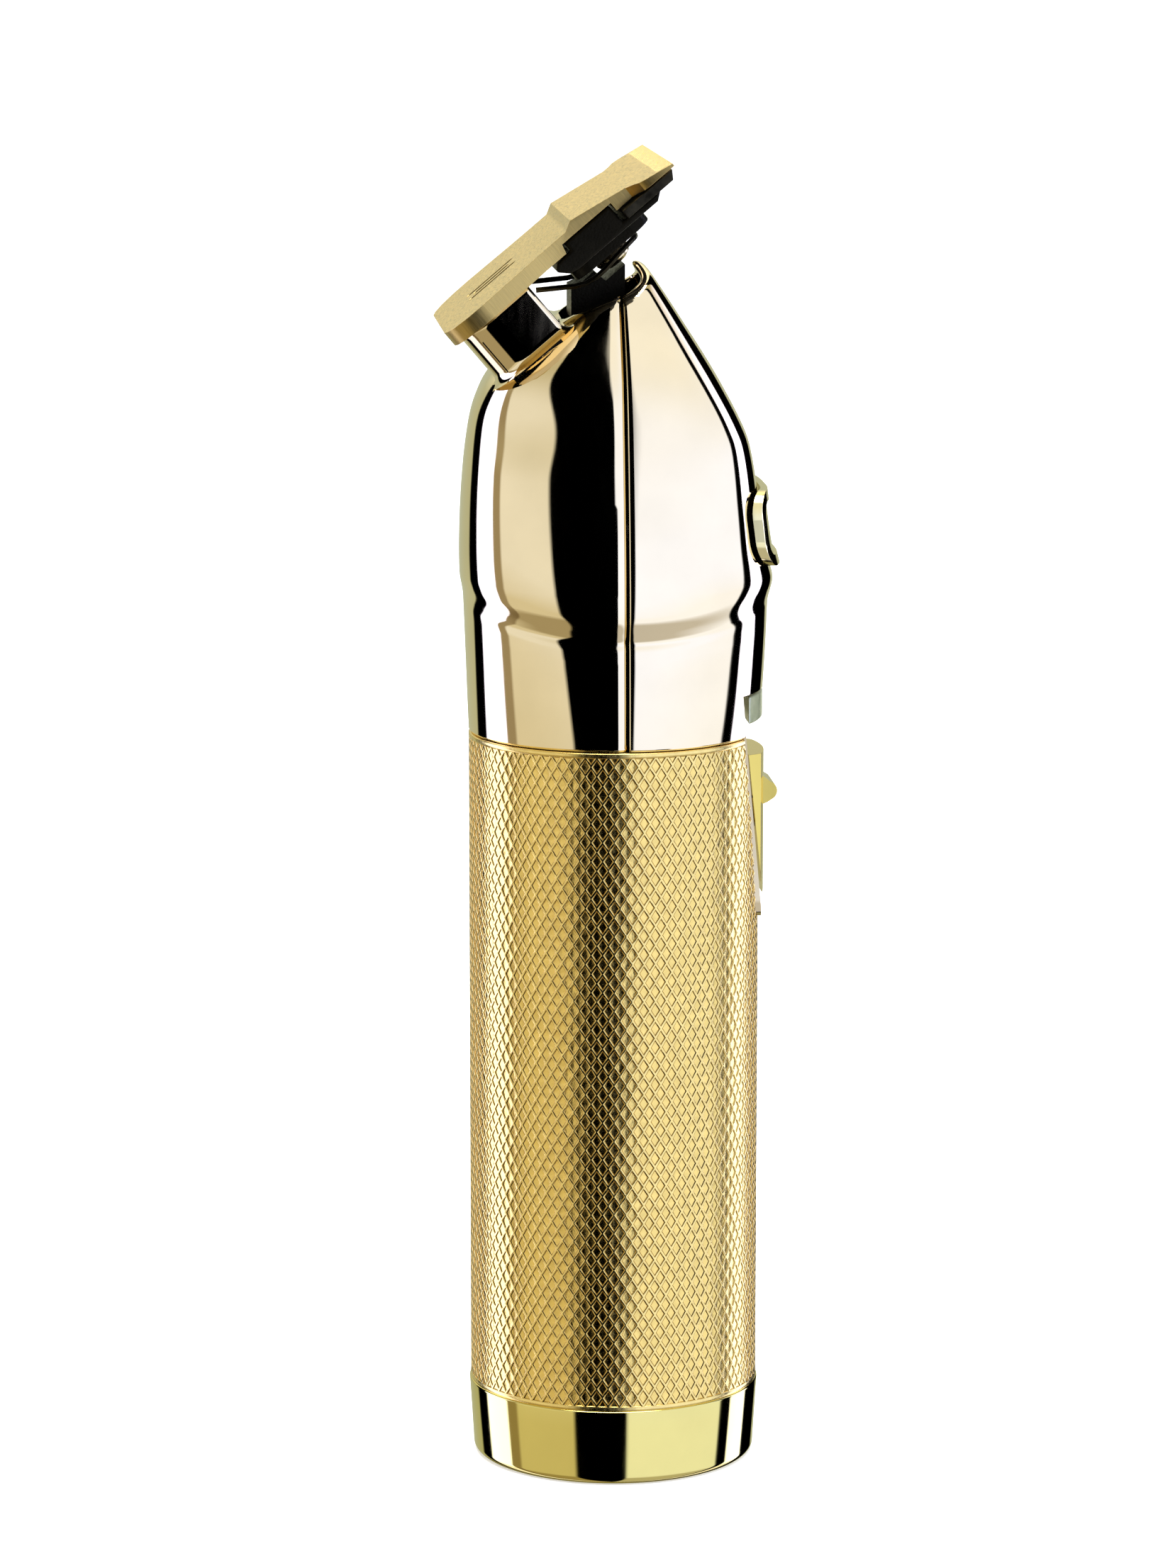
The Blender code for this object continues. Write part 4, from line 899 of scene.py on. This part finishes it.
def add_slider():
    """The thumb slider: slanted sides, a round face, a round thumb ledge and a stem through the slot."""
    low, high = SLIDER_LOW.z, SLIDER_HIGH.z
    face_radius, half_turn = 18.1, math.radians(17)
    face = arc((0.0, 0.0), face_radius, -half_turn, half_turn, 16)
    side = (face[-1][0] - 2.6, face[-1][1] + 1.9)
    outline = face + [side, (side[0], -side[1])]
    slider = add_mesh("thumb_slider", prism(outline, low, high, "z"))
    combine(slider, "INTERSECT", beyond_facet(low - 5.0, high + 5.0, GAP, 22.0))

    root, nose, ledge_half_width = 17.0, (18.35, low + 12.3), 3.4
    ledge = [(root, low + 10.4), (18.3, low + 10.9)]
    ledge += arc(nose, 1.15, math.radians(-62), math.radians(70), 14)
    ledge += [(17.6, low + 14.3), (root, low + 14.8)]
    combine(slider, "UNION", prism(ledge, -ledge_half_width, ledge_half_width, "y"))
    round_edges(slider, 0.3, 35)
    settle(slider)

    stem_half_width, stem_bottom, stem_top = 1.2, 78.0, 81.0
    stem = [(-stem_half_width, stem_bottom), (stem_half_width, stem_bottom)]
    stem += [(stem_half_width, stem_top), (-stem_half_width, stem_top)]
    combine(slider, "UNION", prism(stem, 13.3, 17.2, "x"))
    finish_piece(slider, "slider", ["switch_slider"], MATERIALS["switch_gold"])
    even_normals(slider)


# ---------------------------------------------------------------- blade


def add_blade():
    """The CAD blade again, with its three heel lines cut longer and wider and with finely broken edges."""
    source = frame["nodes"]["fixed_blade"]
    blade = bpy.data.objects.new("engraved_blade", source.data.copy())
    blade.matrix_world = source.matrix_world
    bpy.context.scene.collection.objects.link(blade)
    weld(blade)
    settle(blade)
    floor, clear = HEEL_THICKNESS - HEEL_LINE_DEPTH, HEEL_THICKNESS + 1.0
    half_width = HEEL_LINE_WIDTH / 2
    for y, length in HEEL_LINES:
        reach = (HEEL_LINES_X - length / 2, HEEL_LINES_X + length / 2)
        line = rounded_rectangle(reach, (y - half_width, y + half_width), half_width * 0.95)
        combine(blade, "DIFFERENCE", prism(line, floor, clear, "z"), BLADE_TURN)
    merge_flat_faces(blade)
    round_edges(blade, 0.13, 30, 3)
    settle(blade)
    finish_piece(blade, "housing", ["fixed_blade"], MATERIALS["blade_gold"])
    even_normals(blade)


# ---------------------------------------------------------------- CAD parts that stay


def smooth_by_angle():
    """A geometry-nodes group that shades faces smooth and keeps edges over 32 degrees sharp."""
    group = bpy.data.node_groups.new("smooth_by_angle", "GeometryNodeTree")
    group.interface.new_socket("Geometry", in_out="INPUT", socket_type="NodeSocketGeometry")
    group.interface.new_socket("Geometry", in_out="OUTPUT", socket_type="NodeSocketGeometry")
    nodes, links = group.nodes, group.links
    start = nodes.new("NodeGroupInput")
    end = nodes.new("NodeGroupOutput")
    plain = nodes.new("GeometryNodeRemoveAttribute")
    plain.inputs["Name"].default_value = "custom_normal"
    faces = nodes.new("GeometryNodeSetShadeSmooth")
    edges = nodes.new("GeometryNodeSetShadeSmooth")
    edges.domain = "EDGE"
    edges.inputs["Shade Smooth"].default_value = False
    angle = nodes.new("GeometryNodeInputMeshEdgeAngle")
    over = nodes.new("FunctionNodeCompare")
    over.inputs["B"].default_value = math.radians(32)
    links.new(start.outputs[0], plain.inputs["Geometry"])
    links.new(plain.outputs["Geometry"], faces.inputs["Geometry"])
    links.new(faces.outputs["Geometry"], edges.inputs["Geometry"])
    links.new(angle.outputs["Unsigned Angle"], over.inputs["A"])
    links.new(over.outputs["Result"], edges.inputs["Selection"])
    links.new(edges.outputs["Geometry"], end.inputs[0])
    return group


# The rounding of the edges of the CAD parts that show
EDGE_WIDTHS = {
    "moving_blade": 0.08, "cutter_block": 0.35, "yoke_plate": 0.25, "drive_lever": 0.3,
    "indicator_lens": 0.3, "end_plate": 0.2, "drive_stud": 0.1,
}


def dress_cad_parts():
    """Rounds, smooths and paints the CAD parts that no piece has replaced."""
    smoothing = smooth_by_angle()
    slots = {part["node"]: part["material_slot"] for part in frame["record"]["subparts"]}
    for node, obj in frame["nodes"].items():
        if obj.hide_render:
            continue
        weld(obj)
        if node in EDGE_WIDTHS:
            merge_flat_faces(obj)
            round_edges(obj, EDGE_WIDTHS[node], 40, 3)
        shading = obj.modifiers.new("shading", "NODES")
        shading.node_group = smoothing
        even_normals(obj)
        for material_slot in obj.material_slots:
            material_slot.material = MATERIALS[slots[node]]


# ---------------------------------------------------------------- stage, light and camera


def add_floor():
    """A pale floor that glows a little, so that it stays white up to the horizon."""
    size = 12.0
    mesh = bpy.data.meshes.new("studio_floor")
    corners = [(-size, -size, 0), (size, -size, 0), (size, size, 0), (-size, size, 0)]
    mesh.from_pydata(corners, [], [(0, 1, 2, 3)])
    floor = bpy.data.objects.new("studio_floor", mesh)
    bpy.context.scene.collection.objects.link(floor)
    m = Nodes("floor_look")
    m.set(Roughness=0.9, Emission_Color=PLAIN_WHITE, Emission_Strength=0.45)
    m.drive(m.colours(m.noise(6.0), (0.93, 0.93, 0.93), (0.95, 0.95, 0.95)), "Base Color")
    mesh.materials.append(m.material)
    floor.visible_glossy = False


# Softboxes and dark gaps round the object. Each row has its start and end in degrees to the right of the
# direction from the object to the photographer, and its colour low down, at eye level and high up.
PLAIN_WHITE = (1.0, 1.0, 1.0, 1.0)
BLACK = (0.0, 0.0, 0.0)
OLIVE = (0.56, 0.52, 0.37)
KHAKI = (0.50, 0.52, 0.37)
HAZE = (1.5, 1.42, 1.2)
PEARL = (0.98, 1.02, 1.15)
BROWN = (0.34, 0.28, 0.18)
STRIP = (2.4, 2.6, 4.2)
CREAM_LOW, CREAM = (0.71, 0.66, 0.51), (0.86, 0.86, 0.86)
WHITE_LOW, WHITE = (1.06, 1.16, 1.55), (1.06, 1.2, 1.78)
STUDIO_BANDS = (
    (-180, -138, KHAKI, KHAKI, HAZE),
    (-138, -121, BLACK, BLACK, BLACK),
    (-121, -94, STRIP, STRIP, OLIVE),
    (-94, -83, BROWN, BROWN, OLIVE),
    (-83, -31, CREAM_LOW, CREAM, OLIVE),
    (-31, 11, BLACK, BLACK, BLACK),
    (11, 95, WHITE_LOW, WHITE, PEARL),
    (95, 108, BLACK, BLACK, BLACK),
    (108, 131, STRIP, STRIP, OLIVE),
    (131, 160, BLACK, BLACK, BLACK),
    (160, 180, KHAKI, KHAKI, HAZE),
)
BAND_EDGE = 1.0
# Heights on the unit sphere between which the low colours turn into the level ones, and so on up
LOW_TO_LEVEL = (-0.27, -0.08)
LEVEL_TO_HIGH = (0.1, 0.75)
HIGH_TO_OVERHEAD = (0.93, 0.99)
NEAR_FLOOR = (-0.56, -0.42)
NEAR_FLOOR_SHADE = (0.55, 0.5, 0.4, 1.0)
OVERHEAD_LIGHT = 3.2
CAMERA_AZIMUTH = -5.0


def add_studio_world():
    """White to the camera. To the object, tall softboxes with dark gaps, and soft light from above."""
    world = bpy.data.worlds.new("studio")
    bpy.context.scene.world = world
    world.use_nodes = True
    tree = world.node_tree
    tree.nodes.clear()
    add, link = tree.nodes.new, tree.links.new

    def maths(operation, *values):
        node = add("ShaderNodeMath")
        node.operation = operation
        for socket, value in zip(node.inputs, values):
            if isinstance(value, (int, float)):
                socket.default_value = value
            else:
                link(value, socket)
        return node.outputs["Value"]

    def share(value, limits):
        ranged = add("ShaderNodeMapRange")
        ranged.inputs["From Min"].default_value, ranged.inputs["From Max"].default_value = limits
        link(value, ranged.inputs["Value"])
        return ranged.outputs["Result"]

    def mixed(factor, first, second, blend="MIX"):
        mix = add("ShaderNodeMix")
        mix.data_type = "RGBA"
        mix.blend_type = blend
        for socket, value in ((mix.inputs[0], factor), (mix.inputs[6], first), (mix.inputs[7], second)):
            if isinstance(value, (tuple, float)):
                socket.default_value = value
            else:
                link(value, socket)
        return mix.outputs[2]

    def bands(turn, column):
        ramp = add("ShaderNodeValToRGB")
        stops = ramp.color_ramp.elements
        places = []
        for row in STUDIO_BANDS:
            places.append(((row[0] + 180 + BAND_EDGE) / 360, row[column]))
            places.append(((row[1] + 180 - BAND_EDGE) / 360, row[column]))
        stops[0].position, stops[1].position = places[0][0], places[-1][0]
        stops[0].color, stops[1].color = (*places[0][1], 1.0), (*places[-1][1], 1.0)
        for position, colour in places[1:-1]:
            stops.new(position).color = (*colour, 1.0)
        link(turn, ramp.inputs["Fac"])
        return ramp.outputs["Color"]

    place = add("ShaderNodeTexCoord")
    parts = add("ShaderNodeSeparateXYZ")
    link(place.outputs["Generated"], parts.inputs[0])
    angle = maths("ARCTAN2", parts.outputs["Y"], parts.outputs["X"])
    start = math.radians(-90 + CAMERA_AZIMUTH - 180)
    turn = maths("FRACT", maths("DIVIDE", maths("SUBTRACT", angle, start), 2 * math.pi))
    height = parts.outputs["Z"]
    sides = mixed(share(height, LOW_TO_LEVEL), bands(turn, 2), bands(turn, 3))
    sides = mixed(share(height, LEVEL_TO_HIGH), sides, bands(turn, 4))
    shade = mixed(share(height, NEAR_FLOOR), NEAR_FLOOR_SHADE, PLAIN_WHITE)
    sides = mixed(1.0, sides, shade, "MULTIPLY")
    lit = mixed(share(height, HIGH_TO_OVERHEAD), sides, (OVERHEAD_LIGHT,) * 3 + (1.0,))
    path = add("ShaderNodeLightPath")
    background = add("ShaderNodeBackground")
    link(mixed(path.outputs["Is Camera Ray"], lit, PLAIN_WHITE), background.inputs["Color"])
    output = add("ShaderNodeOutputWorld")
    link(background.outputs[0], output.inputs["Surface"])


def add_camera():
    """The photographer's place: before the seam side, a little above the head, looking slightly down."""
    distance, height = 0.65325, 0.19746
    pitch = math.radians(9.956)
    turn = math.radians(CAMERA_AZIMUTH)
    aim = turn + math.radians(0.2776)
    camera_data = bpy.data.cameras.new("camera")
    camera_data.lens = 125.92
    camera = bpy.data.objects.new("camera", camera_data)
    camera.location = (math.sin(turn) * distance, -math.cos(turn) * distance, height)
    camera.rotation_euler = (math.pi / 2 - pitch, 0.0, aim)
    bpy.context.scene.collection.objects.link(camera)
    bpy.context.scene.camera = camera


def add_top_light():
    """A large softbox over the object."""
    lamp = bpy.data.lights.new("overhead_softbox", "AREA")
    lamp.shape = "RECTANGLE"
    lamp.size, lamp.size_y = 0.8, 0.8
    lamp.energy = 15.0
    light = bpy.data.objects.new("overhead_softbox", lamp)
    light.location = (0.0, 0.0, 1.2)
    bpy.context.scene.collection.objects.link(light)


bpy.context.scene.view_settings.view_transform = "Standard"
add_camera()
add_studio_world()
add_top_light()
add_floor()
add_barrel()
add_tail_ring()
add_front_shell()
add_back_shell()
add_plaque()
add_slider()
add_blade()
dress_cad_parts()
